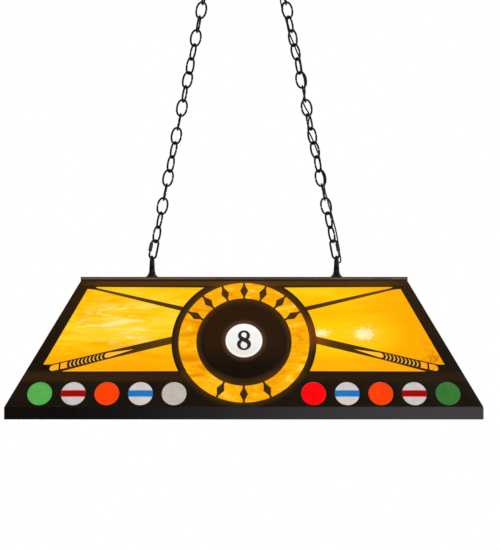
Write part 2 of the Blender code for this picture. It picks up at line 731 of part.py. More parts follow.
def make_cord():
    """The cord follows the right chain. A short end at each loop belongs to the loop's own body."""
    add_cord("power_cord", cord_points())
    start = CORD_EXIT - GAP - CORD_LEAD
    corner = [(CORD_EXIT - GAP, -CORD_CROSSING)]
    corner += arc((start, -CORD_CROSSING - CORD_END_BEND), CORD_END_BEND, 90, 180, 5)
    inner = start - CORD_END_BEND
    top = Vector((CEILING_LOOP_X, 0, CEILING_PIVOT_Z))
    bottom = Vector((LOOP_X, 0, LAMP_PIVOT_Z))
    hole = LOOP_HEIGHT - LOOP_NECK - 2 * LOOP_BAR - 2 * GAP
    upper = [(-x, -z) for x, z in corner] + [(-inner, hole - LINK_WIRE)]
    lower = corner + [(inner, QUICK_WIRE + GAP - hole)]
    add_cord("cord_ceiling_end", [top + Vector((x, 0, z)) for x, z in upper])
    add_cord("cord_lamp_end", [bottom + Vector((x, 0, z)) for x, z in lower])


# ---------------------------------------------------------------- sockets, bulbs and canopy

BAR_DROP = 0.034                  # the socket bar below the top sheet
SOCKET_LENGTH = 0.060
SOCKET_RADIUS = 0.0175


def make_socket_bar(side_name, side):
    """A strap with two feet under the top sheet, which carries two sockets."""
    high = LAMP_TOP - SHEET - GAP
    low = high - BAR_DROP
    near, far, foot = SOCKET_X[0] - 0.032, SOCKET_X[1] + 0.032, 0.014
    thick = BAND_SHEET
    outline = [
        (near - foot, high), (near - foot, high - thick), (near - thick, high - thick),
        (near - thick, low), (far + thick, low), (far + thick, high - thick),
        (far + foot, high - thick), (far + foot, high), (far, high),
        (far, low + thick), (near, low + thick), (near, high),
    ]
    bm = bmesh.new()
    plate(bm, [(side * x, z) for x, z in outline], [], -0.014, 0.014)
    add_object("socket_bar_" + side_name, bm, "zinc_steel", Matrix.Rotation(math.pi / 2, 4, "X"))


def make_socket(number, x):
    top = LAMP_TOP - SHEET - GAP - BAR_DROP - GAP
    low = top - SOCKET_LENGTH
    bore = BULB_BASE + 0.0009
    profile = [(0, top), (0.011, top), (SOCKET_RADIUS, top - 0.012), (SOCKET_RADIUS, low)]
    profile += [(bore, low), (bore, low + 0.032), (0, low + 0.032)]
    bm = bmesh.new()
    turned(bm, profile, 14)
    place = Matrix.Translation((x, 0, 0))
    add_object("socket_" + str(number), bm, "socket_phenolic", place, smooth=True)


def make_bulb(number, x):
    """Round lamp bulb, base up. The profile runs from the base's tip to the bottom of the globe."""
    centre = LAMP_BOTTOM + BULB_CENTRE
    tip = centre + 0.078
    profile = [(0, tip), (0.005, tip), (BULB_BASE, tip - 0.005), (BULB_BASE, tip - 0.026)]
    profile += [(0.0150, tip - 0.031), (0.0200, tip - 0.044)]
    for degrees in (36, 6, -26, -58):
        angle = math.radians(degrees)
        profile.append((BULB_RADIUS * math.cos(angle), centre + BULB_RADIUS * math.sin(angle)))
    profile.append((0, centre - BULB_RADIUS))
    bm = bmesh.new()
    turned(bm, profile, 14)
    place = Matrix.Translation((x, 0, 0))
    add_object("bulb_" + str(number), bm, "bulb_glass", place, smooth=True)


def make_loop_nut(side_name, side):
    """Hexagon nut on the loop's nipple, under the top sheet."""
    high = LAMP_TOP - SHEET - GAP
    place = Matrix.Translation((side * LOOP_X, 0, 0))
    bm = bmesh.new()
    plate(bm, circle((0, 0), 0.009, 6), [circle((0, 0), NIPPLE + 2 * GAP, 10)], high - 0.005, high)
    add_object("loop_nut_" + side_name, bm, "zinc_steel", place)


def make_canopy():
    bm = bmesh.new()
    half_length, half_width = CANOPY_LENGTH / 2, CANOPY_WIDTH / 2
    corners = []
    bend = 0.012
    for x, y, start in ((1, 1, 0), (-1, 1, 90), (-1, -1, 180), (1, -1, 270)):
        centre = (x * (half_length - bend), y * (half_width - bend))
        corners += arc(centre, bend, start, start + 90, 4)
    plate(bm, corners, [], -CANOPY_DEPTH, 0)
    canopy = add_object("canopy_pan", bm, "black_steel")
    inside = bmesh.new()
    wall = SHEET
    corners = []
    for x, y, start in ((1, 1, 0), (-1, 1, 90), (-1, -1, 180), (1, -1, 270)):
        centre = (x * (half_length - bend), y * (half_width - bend))
        corners += arc(centre, bend - wall, start, start + 90, 4)
    plate(inside, corners, [], -CANOPY_DEPTH + wall, 0.01)
    boolean(canopy, helper(add_object("canopy_inside", inside, "black_steel")))
    holes = bmesh.new()
    low, high = -CANOPY_DEPTH - 0.005, -CANOPY_DEPTH + 0.005
    for side in (-1, 1):
        rod(holes, NIPPLE + 2 * GAP, low, high, (side * CEILING_LOOP_X, 0))
        rod(holes, 0.0026, low, high, (side * CANOPY_SCREW_X, 0), 10)
    boolean(canopy, helper(add_object("canopy_holes", holes, "black_steel")))


def make_crossbar():
    length, width, thick = CROSSBAR
    bm = bmesh.new()
    half, side_edge = length / 2, width / 2
    outline = [(-half, -side_edge), (half, -side_edge), (half, side_edge), (-half, side_edge)]
    holes = []
    for side in (-1, 1):
        holes.append(circle((side * CEILING_LOOP_X, 0), NIPPLE + 2 * GAP, 10))
        holes.append(circle((side * CANOPY_SCREW_X, 0), 0.0026, 10))
    plate(bm, outline, holes, -thick, 0)
    add_object("canopy_crossbar", bm, "zinc_steel")


def make_canopy_screw(side_name, side):
    """Screw with a round knob below the canopy."""
    face = -CANOPY_DEPTH - GAP
    profile = [(0, -0.0005), (0.0021, -0.0005), (0.0021, face), (0.007, face)]
    profile += [(0.007, face - 0.005), (0.005, face - 0.008), (0, face - 0.009)]
    bm = bmesh.new()
    turned(bm, profile, 14)
    place = Matrix.Translation((side * CANOPY_SCREW_X, 0, 0))
    add_object("canopy_screw_" + side_name, bm, "black_chain", place, smooth=True)


def main():
    clear_scene()
    make_long_face("front", FRONT)
    make_long_face("back", BACK)
    make_end("right", RIGHT_END)
    make_end("left", LEFT_END)
    for x_name, x_side in (("left", -1), ("right", 1)):
        for y_name, y_side in (("front", -1), ("back", 1)):
            make_corner_angle("corner_angle_" + y_name + "_" + x_name, x_side, y_side)
    make_bottom_band()
    make_top_plate()
    for side_name, side, turns in (("left", -1, LEFT_TURNS), ("right", 1, RIGHT_TURNS)):
        lamp_place = Matrix.Translation((side * LOOP_X, 0, LAMP_TOP + GAP))
        make_loop("lamp_loop_" + side_name, lamp_place, 0.010)
        hung = Matrix.Translation((side * CEILING_LOOP_X, 0, -CANOPY_DEPTH - GAP))
        ceiling_place = hung @ Matrix.Rotation(math.pi, 4, "X")
        make_loop("ceiling_loop_" + side_name, ceiling_place, CANOPY_DEPTH - 0.001)
        make_chain("chain_" + side_name, side, turns)
        make_quick_link(side_name, side)
        make_loop_nut(side_name, side)
        make_socket_bar(side_name, side)
        make_canopy_screw(side_name, side)
    socket_places = (-SOCKET_X[1], -SOCKET_X[0], SOCKET_X[0], SOCKET_X[1])
    for number, x in enumerate(socket_places, 1):
        make_socket(number, x)
        make_bulb(number, x)
    make_cord()
    make_canopy()
    make_crossbar()


main()
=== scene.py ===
"""Visual model of an oblong pool table lamp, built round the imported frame.

Metres, +Z up. The origin is the middle of the ceiling face. X runs along the lamp, and the front
face looks along -Y.
"""
import json
import random
from math import atan2, copysign, cos, degrees, hypot, pi, radians, sin

import bmesh
import bpy
from mathutils import Matrix, Vector
from mathutils.geometry import tessellate_polygon


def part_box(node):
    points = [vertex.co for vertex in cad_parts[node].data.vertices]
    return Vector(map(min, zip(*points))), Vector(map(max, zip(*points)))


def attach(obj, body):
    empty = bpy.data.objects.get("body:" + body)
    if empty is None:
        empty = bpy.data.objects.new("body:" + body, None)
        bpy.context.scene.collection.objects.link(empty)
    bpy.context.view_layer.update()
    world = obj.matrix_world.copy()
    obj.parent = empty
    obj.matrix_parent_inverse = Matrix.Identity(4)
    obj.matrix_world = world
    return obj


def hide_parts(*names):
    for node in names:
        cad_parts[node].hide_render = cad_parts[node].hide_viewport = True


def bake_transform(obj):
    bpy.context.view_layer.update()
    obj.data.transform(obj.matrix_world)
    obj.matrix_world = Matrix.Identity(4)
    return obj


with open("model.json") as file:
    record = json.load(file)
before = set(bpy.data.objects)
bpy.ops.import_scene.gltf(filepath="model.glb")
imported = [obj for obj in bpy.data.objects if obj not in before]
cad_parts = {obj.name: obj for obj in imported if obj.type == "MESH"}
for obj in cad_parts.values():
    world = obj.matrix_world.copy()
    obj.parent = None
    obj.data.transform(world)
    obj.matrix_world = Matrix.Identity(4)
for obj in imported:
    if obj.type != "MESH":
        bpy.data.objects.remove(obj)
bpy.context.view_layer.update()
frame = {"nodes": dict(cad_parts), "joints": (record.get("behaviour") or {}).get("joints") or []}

ROOT, SHADE = "ceiling_canopy", "shade"
CHAIN = {"left": "left_chain", "right": "right_chain"}
SLEEVE = {"left": "left_sleeve", "right": "right_sleeve"}
SIDES = (("left", -1), ("right", 1))
FACES = ("front", "back")

# ---------------- sizes read from the frame

band_low, band_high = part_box("bottom_band")
top_low, top_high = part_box("top_plate")
BASE_LENGTH, BASE_WIDTH = band_high.x - band_low.x, band_high.y - band_low.y
TOP_LENGTH, TOP_WIDTH = top_high.x - top_low.x, top_high.y - top_low.y
LAMP_BOTTOM, PANEL_FOOT = band_low.z, band_high.z
PANEL_HEAD, LAMP_TOP = top_low.z, top_high.z
SLOPE_RISE = PANEL_HEAD - PANEL_FOOT
FRONT_RUN = (BASE_WIDTH - TOP_WIDTH) / 2
END_RUN = (BASE_LENGTH - TOP_LENGTH) / 2
FRONT_SLOPE = hypot(FRONT_RUN, SLOPE_RISE)
END_SLOPE = hypot(END_RUN, SLOPE_RISE)
pivot = {joint["name"]: Vector(joint["pos_m"]) for joint in frame["joints"] if "pos_m" in joint}
CEILING_PIVOT = pivot["right_chain_swing"]
LAMP_PIVOT = pivot["shade_tilt"]
CHAIN_VECTOR = CEILING_PIVOT - LAMP_PIVOT
CHAIN_LEAN = atan2(-CHAIN_VECTOR.x, CHAIN_VECTOR.z)

# ---------------- sizes of the visible details

SHEET = 0.0015
GAP = 0.0003
EDGE = 0.0003                     # rounding along cut sheet edges
WINDOW_LOW, WINDOW_HIGH = 0.0975, 0.342
BORDER = 0.0313
RING_CENTRE = 0.183
RING_OUTER = 0.1895
RING_GLASS_OUTER, RING_GLASS_INNER = 0.171, 0.1245
BALL_WINDOW = 0.03175
BALL_ROW = 0.0368
BALL_FIRST, BALL_PITCH = 0.1785, 0.0859
CUE_MIDDLE, CUE_SLOPE = 0.2345, 0.257
SPOT_X, SPOT_SLOPE = 0.182, 0.187 * FRONT_SLOPE / SLOPE_RISE
BALL_FACE = 0.104775
LENS = 0.0478
LINK_WIRE = 0.0028
LINK_PITCH = 0.0394
LINK_WIDTH = 0.0325
LINK_BARS = LINK_PITCH + 2 * LINK_WIRE
QUICK_WIRE = 0.0029
QUICK_LENGTH, QUICK_WIDTH = 0.0565, 0.0245
QUICK_OPENING = 0.01
QUICK_BARS = QUICK_LENGTH - 2 * QUICK_WIRE
FIRST_BAR = QUICK_BARS - QUICK_WIRE - LINK_WIRE - GAP
SLEEVE_LENGTH, SLEEVE_RADIUS = 0.023, 0.0057
CORD = 0.0042
LOOP_HEIGHT, LOOP_BAR, LOOP_HOLE, LOOP_NECK = 0.061, 0.0025, 0.016, 0.0265
NIPPLE, LOOP_NIPPLE = 0.0048, 0.0098     # radius, and length below a lamp loop
SOCKET_X = (0.199, 0.325)
TURNS = {
    "right": (54, -60, 0, 84, 0, -63, 33, -42, 60, 0, 86, 0, -68, 33, -42, 58, 0, 80, 0),
    "left": (54, -62, 5, 90, -10, 58, -54, 22, -82, 5, 75, -20, 50, -58, 5, 82, 0, 80, 0),
}

# ---------------- camera and studio

scene = bpy.context.scene
scene.view_settings.view_transform = "Standard"
camera = bpy.data.objects.new("camera", bpy.data.cameras.new("camera"))
scene.collection.objects.link(camera)
camera.data.lens = 78.545
camera.location = (0.0157, -3.2771, LAMP_BOTTOM + 0.25273)
camera.rotation_euler = (pi / 2 + 0.03748, 0, 0)
camera.data.clip_end = 50
scene.camera = camera


def area_light(name, place, target, size, power):
    light = bpy.data.lights.new(name, "AREA")
    light.shape = "DISK"
    light.size = size
    light.energy = power
    lamp = bpy.data.objects.new(name, light)
    lamp.location = place
    lamp.rotation_euler = (Vector(target) - Vector(place)).to_track_quat("-Z", "Y").to_euler()
    lamp.visible_camera = False
    scene.collection.objects.link(lamp)


area_light("key_right", (2.7, -2.4, -0.55), (0.1, 0, -1.05), 1.5, 42)
area_light("fill_left", (-2.8, -1.8, -0.2), (0, 0, -1.0), 1.8, 9)
area_light("low_right", (1.45, -3.5, -1.15), (0.3, 0, -1.2), 1.1, 15)
area_light("top_back", (0.3, 1.9, 1.1), (0, 0, -0.9), 2.2, 46)
area_light("back_low", (0.4, 3.0, -0.9), (0, 0, -1.05), 2.4, 30)

world = bpy.data.worlds.new("studio")
scene.world = world
world.use_nodes = True
sky = world.node_tree
sky.nodes.clear()
out, seen, felt, ray, choose = (sky.nodes.new("ShaderNode" + kind) for kind in (
    "OutputWorld", "Background", "Background", "LightPath", "MixShader"))
seen.inputs["Color"].default_value = (1, 1, 1, 1)
felt.inputs["Color"].default_value = (0.95, 0.97, 1, 1)
felt.inputs["Strength"].default_value = 0.42
sky.links.new(ray.outputs["Is Camera Ray"], choose.inputs["Fac"])
sky.links.new(felt.outputs[0], choose.inputs[1])
sky.links.new(seen.outputs[0], choose.inputs[2])
sky.links.new(choose.outputs[0], out.inputs["Surface"])

# ---------------- finishes


class Value:
    """What a node gives out. Arithmetic on it adds math nodes to its finish."""

    def __init__(self, finish, output):
        self.finish, self.output = finish, output

    def __add__(self, other):
        return self.finish.math("ADD", self, other)

    def __sub__(self, other):
        return self.finish.math("SUBTRACT", self, other)

    def __rsub__(self, other):
        return self.finish.math("SUBTRACT", other, self)

    def __mul__(self, other):
        return self.finish.math("MULTIPLY", self, other)

    def __abs__(self):
        return self.finish.math("ABSOLUTE", self)


class Finish:
    """One material and short ways to add nodes to it."""

    def __init__(self, name, colour, roughness, metallic=0.0):
        self.material = bpy.data.materials.new(name)
        self.material.use_nodes = True
        self.tree = self.material.node_tree
        self.shader = self.tree.nodes["Principled BSDF"]
        self.point = self.node("ShaderNodeTexCoord", {}, "Object")
        self.paint(colour, roughness, metallic)

    def feed(self, socket, value):
        """Links an input to a Value, or sets it to a number, a vector or a colour."""
        if isinstance(value, Value):
            self.tree.links.new(value.output, socket)
        else:
            socket.default_value = (*value, 1) if socket.type == "RGBA" else value

    def node(self, kind, inputs, output=0, **settings):
        node = self.tree.nodes.new(kind)
        for key, value in settings.items():
            setattr(node, key, value)
        for key, value in inputs.items():
            self.feed(node.inputs[key], value)
        return Value(self, node.outputs[output])

    def paint(self, base=None, rough=None, metal=None, glow=None, power=1.0, gloss=None, relief=None):
        """Feeds the shader and gives the material. relief is (height, strength, distance)."""
        sockets = {"Base Color": base, "Roughness": rough, "Metallic": metal,
                   "Specular IOR Level": gloss, "Emission Color": glow}
        if base is not None:
            self.base = base
        if glow is not None:
            sockets["Emission Strength"] = power
        if relief:
            height, strength, distance = relief
            sockets["Normal"] = self.node("ShaderNodeBump", {
                "Height": height, "Strength": strength, "Distance": distance})
        for name, value in sockets.items():
            if value is not None:
                self.feed(self.shader.inputs[name], value)
        return self.material

    def math(self, operation, *values, clamp=False):
        return self.node("ShaderNodeMath", dict(enumerate(values)), operation=operation,
                         use_clamp=clamp)

    def vector(self, scale=(1, 1, 1), shift=(0, 0, 0), turn=(0, 0, 0)):
        return self.node("ShaderNodeMapping", {
            "Vector": self.point, "Scale": scale, "Location": shift, "Rotation": turn})

    def noise(self, scale, detail=4, roughness=0.5, vector=None, bend=0.0):
        return self.node("ShaderNodeTexNoise", {
            "Vector": vector or self.point, "Scale": scale, "Detail": detail,
            "Roughness": roughness, "Distortion": bend}, "Fac")

    def streaks(self, scale, shift, detail, roughness, bend=0.0):
        """Noise stretched by a scale for each axis."""
        return self.noise(1.0, detail, roughness, self.vector(scale, shift), bend)

    def cells(self, scale, vector=None, feature="F1"):
        return self.node("ShaderNodeTexVoronoi", {
            "Vector": vector or self.point, "Scale": scale}, "Distance", feature=feature)

    def step(self, value, low, high, start=0.0, end=1.0):
        """A smooth step of value from start to end."""
        return self.node("ShaderNodeMapRange", {
            "Value": value, "From Min": low, "From Max": high, "To Min": start, "To Max": end,
        }, interpolation_type="SMOOTHSTEP")

    def fall(self, value, low, high):
        return self.step(value, low, high, 1, 0)

    def ramp(self, value, *stops):
        colours = self.node("ShaderNodeValToRGB", {"Fac": value}, "Color")
        marks = colours.output.node.color_ramp.elements
        for place, colour in stops[1:-1]:
            marks.new(place)
        for mark, (place, colour) in zip(marks, stops):
            mark.position = place
            mark.color = (*colour, 1)
        return colours

    def mix(self, share, first, second, how="MIX"):
        """Mixes two colours, which are inputs 6 and 7 and output 2 of the node."""
        return self.node("ShaderNodeMix", {0: share, 6: first, 7: second}, 2,
                         data_type="RGBA", blend_type=how)

    def scaled(self, colour, share):
        return self.node("ShaderNodeVectorMath", {0: colour, "Scale": share}, operation="SCALE")

    def axes(self, letters):
        """The axes named by letters, in the object's own coordinates."""
        return [self.node("ShaderNodeSeparateXYZ", {0: self.point}, letter) for letter in letters]

    def distance(self, across, up):
        """Distance from a point, given the two coordinates measured from it."""
        return self.math("SQRT", across * across + up * up)

    def peak(self, value, middle, reach):
        """1 at the middle, falling evenly to 0 at reach on both sides."""
        return self.math("SUBTRACT", 1.0, abs(self.math("DIVIDE", value - middle, reach)), clamp=True)


def shaded(colour, share):
    return tuple(share * channel for channel in colour)


def painted_steel(name="black_steel", low=(0.014, 0.0084, 0.0024), high=(0.027, 0.017, 0.0046),
                  gloss=0.14):
    """Satin powder coat: faint mottling, orange peel and a dusty film of specks."""
    f = Finish(name, low, 0.5)
    cloud = f.noise(11, 5, 0.6)
    speck = f.step(f.noise(900, 2, 0.5), 0.6, 0.75)
    f.paint(f.mix(speck * 0.3, f.ramp(cloud, (0.3, low), (0.7, high)), (0.05, 0.034, 0.018)),
            f.step(cloud * 0.6 + f.noise(260, 3, 0.6) * 0.4, 0.3, 0.7, 0.4, 0.56),
            gloss=gloss, relief=(f.noise(520, 2, 0.4), 0.16, 0.0004))
    return f


def cue_panel_steel():
    """Painted steel with a faint painted glow, for light leaking past it.

    The painted glow follows the cues, the ring, the top border and the row of discs, and rises
    up the panel. One painted glow spot beside the ring is redder.
    """
    f = painted_steel("cue_panel_steel", (0.0086, 0.0048, 0.0015), (0.016, 0.0098, 0.0032), 0.07)
    x, y = f.axes("XY")
    away = abs(x)
    lift = away * CUE_SLOPE
    thin = f.fall(abs(y - (lift + CUE_MIDDLE)), 0.003, 0.01)
    thin = thin * f.step(away, 0.17, 0.4, 0.45, 1) * f.fall(away, 0.385, 0.4)
    thick = f.fall(abs(y - (CUE_MIDDLE - lift)), 0.01, 0.016)
    thick = thick * f.step(away, 0.21, 0.29, 0.085, 0.052) * f.fall(away, 0.45, 0.5)
    far = f.distance(x, y - RING_CENTRE)
    cues = (thin * 0.12 + thick) * f.step(far, 0.186, 0.192)
    ring = f.fall(abs(far - 0.148), 0.022, 0.044)
    border = f.step(y, 0.342, 0.348) * f.fall(away, 0.36, 0.47)
    row = f.step(y, 0.064, 0.076) * f.fall(y, 0.09, 0.104)
    row = row * f.step(x, -0.4, 0.4, 0.022, 0.01)
    # Painted glow: a redder spot beside the ring.
    hot = f.fall(f.distance(x - SPOT_X, y - SPOT_SLOPE), 0.012, 0.062)
    tint = f.mix(hot, (1.0, 0.37, 0.03), (1.0, 0.22, 0.01))
    # All of this is painted glow in the steel's emission, standing for leaking light.
    leaks = cues + ring * 0.045 + border * 0.052 + row + hot * 0.13
    return f.paint(glow=f.scaled(tint, leaks + f.step(y, 0.12, 0.33, 0, 0.018)))


def lip_steel():
    """The top plate: the upper half of its folded lip is a lighter brown, a mottled painted highlight
    that is strongest towards -X.
    """
    f = painted_steel("lip_steel")
    x, z = f.axes("XZ")
    # Painted highlight: the upper half of the lip lighter brown, mottled.
    painted_highlight = f.step(z, LAMP_TOP - 0.0075, LAMP_TOP - 0.0058)
    painted_highlight = painted_highlight * f.fall(z, LAMP_TOP - 0.0026, LAMP_TOP - 0.001)
    painted_highlight = painted_highlight * f.step(f.noise(30, 5, 0.65), 0.3, 0.7, 0.55, 1.0)
    along = f.step(abs(x), 0.1, 0.28, 0.75, 1.0) * f.step(x, -0.2, 0.1, 1.6, 1.0)
    return f.paint(f.mix(painted_highlight * along, f.base, (0.17, 0.098, 0.066)))


def band_steel():
    """The bottom band: dark at the -X end and lighter towards +X, a painted reflection of the light on
    that side.
    """
    f = painted_steel("band_steel", (0.0034, 0.0024, 0.0018), (0.0062, 0.0044, 0.0034), 0.045)
    x, = f.axes("X")
    # Painted reflection: the band grows lighter towards +X.
    painted_reflection = f.step(x + f.noise(5, 4, 0.6) * 0.1, -0.45, 0.62)
    return f.paint(f.mix(painted_reflection * 0.85, f.base, (0.064, 0.058, 0.062)))


def worn_edge():
    """The rounded edge of a painted sheet, where the coat is thin and worn by rubbing."""
    f = Finish("worn_edge", (0.03, 0.022, 0.018), 0.38)
    rub = f.step(f.noise(70, 4, 0.7), 0.48, 0.66)
    return f.paint(f.mix(rub, (0.016, 0.01, 0.005), (0.07, 0.047, 0.028)),
                   f.step(rub, 0, 1, 0.42, 0.3), gloss=0.2,
                   relief=(f.noise(700, 2, 0.5), 0.12, 0.0003))


def black_hardware(name, low, high, roughness, grain, scuff=0.35):
    """Black lacquer on steel wire or castings, thin and scuffed where pieces rub."""
    f = Finish(name, low, roughness)
    cloud = f.noise(45, 5, 0.6)
    rub = f.step(f.noise(150, 4, 0.75, bend=0.4), 0.6, 0.72)
    return f.paint(f.mix(rub * scuff, f.ramp(cloud, (0.3, low), (0.72, high)), (0.085, 0.075, 0.068)),
                   f.step(cloud, 0.3, 0.7, roughness - 0.08, roughness + 0.1), rub * 0.3,
                   gloss=0.16, relief=(f.noise(grain, 3, 0.6), 0.25, 0.0004))


def zinc(name="zinc_steel", tint=(0.6, 0.6, 0.61)):
    """Plain zinc plating with a soft spangle and drawing lines."""
    f = Finish(name, tint, 0.36, 1.0)
    lines = f.noise(260, 3, 0.6, f.vector((0.06, 1, 1)))
    return f.paint(f.ramp(f.cells(170), (0.1, tint), (0.75, shaded(tint, 0.72))),
                   f.step(lines, 0.3, 0.7, 0.28, 0.46), relief=(lines, 0.1, 0.0003))


GLASS_BODY = (0.1, 0.036, 0.0005)
GLASS_GLOSS = 0.05


def lit_glass(f, body, up, away, *relief):
    """A lit pane, brightened to cream behind the openings in the cue butts."""
    line = CUE_MIDDLE - away * CUE_SLOPE
    off = abs(up * (FRONT_SLOPE / SLOPE_RISE) - line)
    inside = f.fall(off, 0.0092, 0.0112) * f.step(away, 0.27, 0.3)
    slits = f.step(away, 0.358, 0.364) * f.fall(away, 0.448, 0.456)
    share = slits * 0.3 + f.step(away, 0.448, 0.456, 0.15, 0.04)
    body = f.mix(inside * share, body, (1.0, 0.74, 0.22))
    return f.paint(glow=body, power=0.97, gloss=GLASS_GLOSS, relief=relief)


def amber_streaky(name, seed, wisps=1.0):
    """Opalescent sheet: long level streaks, with pale wisps across the middle."""
    f = Finish(name, GLASS_BODY, 0.2)
    shift = (seed * 1.7, seed * 3.1, seed * 0.9)
    x, z = f.axes("XZ")
    up, away = z - PANEL_FOOT, abs(x)
    streak = f.streaks((5, 5, 48), shift, 7, 0.68, 0.5) * 0.6
    body = f.ramp(streak + f.streaks((3.2, 3.2, 12), shift, 4, 0.55, 0.6) * 0.4,
                  (0.34, (0.86, 0.29, 0.0)), (0.44, (1.0, 0.455, 0.0)),
                  (0.53, (1.0, 0.58, 0.002)), (0.64, (1.0, 0.72, 0.045)))
    body = f.mix(f.fall(up, 0.095, 0.175) * 0.8, body, (1.0, 0.365, 0.0))
    place = f.step(f.peak(away, 0.335, 0.145) * f.peak(up, 0.21, 0.085), 0.02, 0.5)
    wisp = f.step(f.streaks((10, 10, 62), (seed, 4, 2), 6, 0.66, 0.7), 0.49, 0.68)
    body = f.mix(place * wisp * (0.95 * wisps), body, (1.0, 0.86, 0.34))
    line = f.step(f.streaks((7, 7, 150), (seed, 1, 8), 5, 0.7, 0.8), 0.6, 0.7)
    body = f.mix(line * place * 0.5, body, (1.0, 0.84, 0.42))
    return lit_glass(f, body, up, away, f.streaks((30, 30, 120), shift, 4, 0.6), 0.2, 0.0008)


def amber_hammered(name, seed):
    """Finely hammered sheet, with the two bulbs behind it showing as sparkling spots."""
    f = Finish(name, GLASS_BODY, 0.16)
    shift = (seed * 2.3, seed, seed * 1.3)
    moved = f.vector(shift=shift)
    x, z = f.axes("XZ")
    up, away = z - PANEL_FOOT, abs(x)
    grain = f.noise(230, 3, 0.6, moved)
    body = f.ramp(f.streaks((4, 4, 30), shift, 5, 0.65, 0.4), (0.32, (0.95, 0.44, 0.0)),
                  (0.52, (1.0, 0.56, 0.0)), (0.7, (1.0, 0.65, 0.008)))
    for share in (f.step(away, 0.22, 0.44) * 0.85, f.fall(up, 0.085, 0.16) * 0.7):
        body = f.mix(share, body, (0.97, 0.375, 0.0))
    corner = f.step(away, 0.44, 0.505) * f.fall(up, 0.11, 0.2)
    blotch = f.step(f.noise(75, 4, 0.7, moved), 0.42, 0.62)
    body = f.mix(corner * blotch, body, (0.58, 0.14, 0.004))
    for spot_x, spot_z, reach, flat in ((0.203, 0.187, 0.066, 2.5), (0.315, 0.184, 0.082, 1.8)):
        far = f.distance(away - spot_x, (up - spot_z) * flat)
        body = f.mix(f.step(far, 0.05, 0.13, 0.5, 0), body, (1.0, 0.66, 0.004))
        glow = f.fall(far, 0.0, reach)
        sparkle = f.step(glow + (grain - 0.5) * 3.4, 0.45, 1.25) * 0.9
        inside = f.fall(far, reach * 0.7, reach * 1.2)
        body = f.mix(sparkle * inside, body, (1.0, 0.76, 0.13))
        body = f.mix(f.step(glow + grain * 0.9, 1.12, 1.42), body, (1.0, 0.93, 0.5))
    return lit_glass(f, body, up, away, f.cells(330, moved, "SMOOTH_F1"), 0.3, 0.001)


def amber_ring():
    """Ring of glass with slanting swirls."""
    f = Finish("amber_ring", GLASS_BODY, 0.18)
    slant = f.vector((11, 11, 34), (5, 2, 1), (0, radians(38), 0))
    body = f.ramp(f.noise(1.0, 5, 0.62, slant, 1.3), (0.33, (0.76, 0.25, 0.0)),
                  (0.45, (0.93, 0.37, 0.0)), (0.56, (1.0, 0.47, 0.002)), (0.66, (1.0, 0.67, 0.06)))
    return f.paint(glow=body, power=0.95, gloss=GLASS_GLOSS, relief=(f.noise(90, 3, 0.6), 0.2, 0.0008))


def lit_disc(name, colour, stripe=None, halo=None, glow=0.86):
    """Translucent disc lit from behind, with a painted stripe across it where given."""
    f = Finish("disc_" + name, shaded(colour, 0.3), 0.24)
    shade = f.ramp(f.noise(42, 4, 0.6), (0.35, shaded(colour, 0.86)), (0.62, colour))
    if stripe:
        y, = f.axes("Y")
        away = abs(y - BALL_ROW + (f.noise(160, 2, 0.5) - 0.5) * 0.0009)
        shade = f.mix(f.fall(away, 0.0085, 0.0125), shade, halo)
        shade = f.mix(f.fall(away, 0.0077, 0.0094), shade, stripe)
    return f.paint(f.mix(0.9, shade, (0, 0, 0)), glow=shade, power=glow, gloss=0.1,
                   relief=(f.noise(300, 2, 0.5), 0.05, 0.0003))


def plain_plastic(name, colour, roughness, grain=600):
    f = Finish(name, colour, roughness)
    cloud = f.noise(60, 4, 0.6)
    return f.paint(f.ramp(cloud, (0.3, shaded(colour, 0.8)), (0.7, colour)),
                   f.step(cloud, 0.3, 0.7, roughness - 0.06, roughness + 0.08),
                   relief=(f.noise(grain, 2, 0.5), 0.12, 0.0003))


def ball_face_paint():
    """Gloss black with a painted glow round the number, for light leaking past the lens,
    and a faint painted glow over the face that is brighter on its upper half.
    """
    f = Finish("ball_face", (0.005, 0.003, 0.0015), 0.34)
    x, y = f.axes("XY")
    cloud = f.noise(24, 4, 0.6)
    # Painted glow over the whole face, brighter on its upper half.
    wide = f.scaled((0.021, 0.0072, 0.0012), f.step(y, -0.09, 0.0, 0.18, 1.0))
    near = f.scaled((0.06, 0.03, 0.02), f.fall(f.distance(x, y), 0.047, 0.064))
    return f.paint(f.ramp(cloud, (0.3, (0.004, 0.0022, 0.001)), (0.7, (0.0075, 0.0045, 0.0022))),
                   f.step(cloud, 0.3, 0.7, 0.28, 0.4), glow=f.mix(1.0, wide, near, "ADD"),
                   gloss=0.06, relief=(f.noise(420, 2, 0.4), 0.06, 0.0003))


def lens_face():
    """White lens: bright rim, a painted highlight over the upper half, and a warmer foot."""
    f = Finish("number_lens", (0.1, 0.1, 0.1), 0.22)
    x, y = f.axes("XY")
    body = f.ramp(f.noise(38, 4, 0.6), (0.35, (0.86, 0.85, 0.84)), (0.65, (0.87, 0.87, 0.88)))
    for share, tone in (
            (f.fall(y, -0.045, 0.0) * 0.6, (0.78, 0.68, 0.53)),
            (f.step(f.distance(x, y), 0.038, 0.0465) * 0.9, (0.98, 0.94, 0.88)),
            # Painted highlight over the upper half of the lens.
            (f.step(y, 0.012, 0.04) * 0.8, (1.0, 0.98, 0.96))):
        body = f.mix(share, body, tone)
    return f.paint(glow=body, power=0.94, gloss=0.15, relief=(f.noise(240, 2, 0.5), 0.05, 0.0003))


def lit_bulb():
    """Soft white coating, brighter round the middle of the globe."""
    f = Finish("bulb_glass", (0.85, 0.84, 0.8), 0.24)
    z, = f.axes("Z")
    body = f.ramp(f.noise(60, 3, 0.5), (0.3, (1.0, 0.86, 0.6)), (0.7, (1.0, 0.92, 0.72)))
    return f.paint(glow=f.scaled(body, f.step(z, 0.015, 0.052, 1, 0.55)), power=2.6,
                   relief=(f.noise(500, 2, 0.5), 0.04, 0.0002))


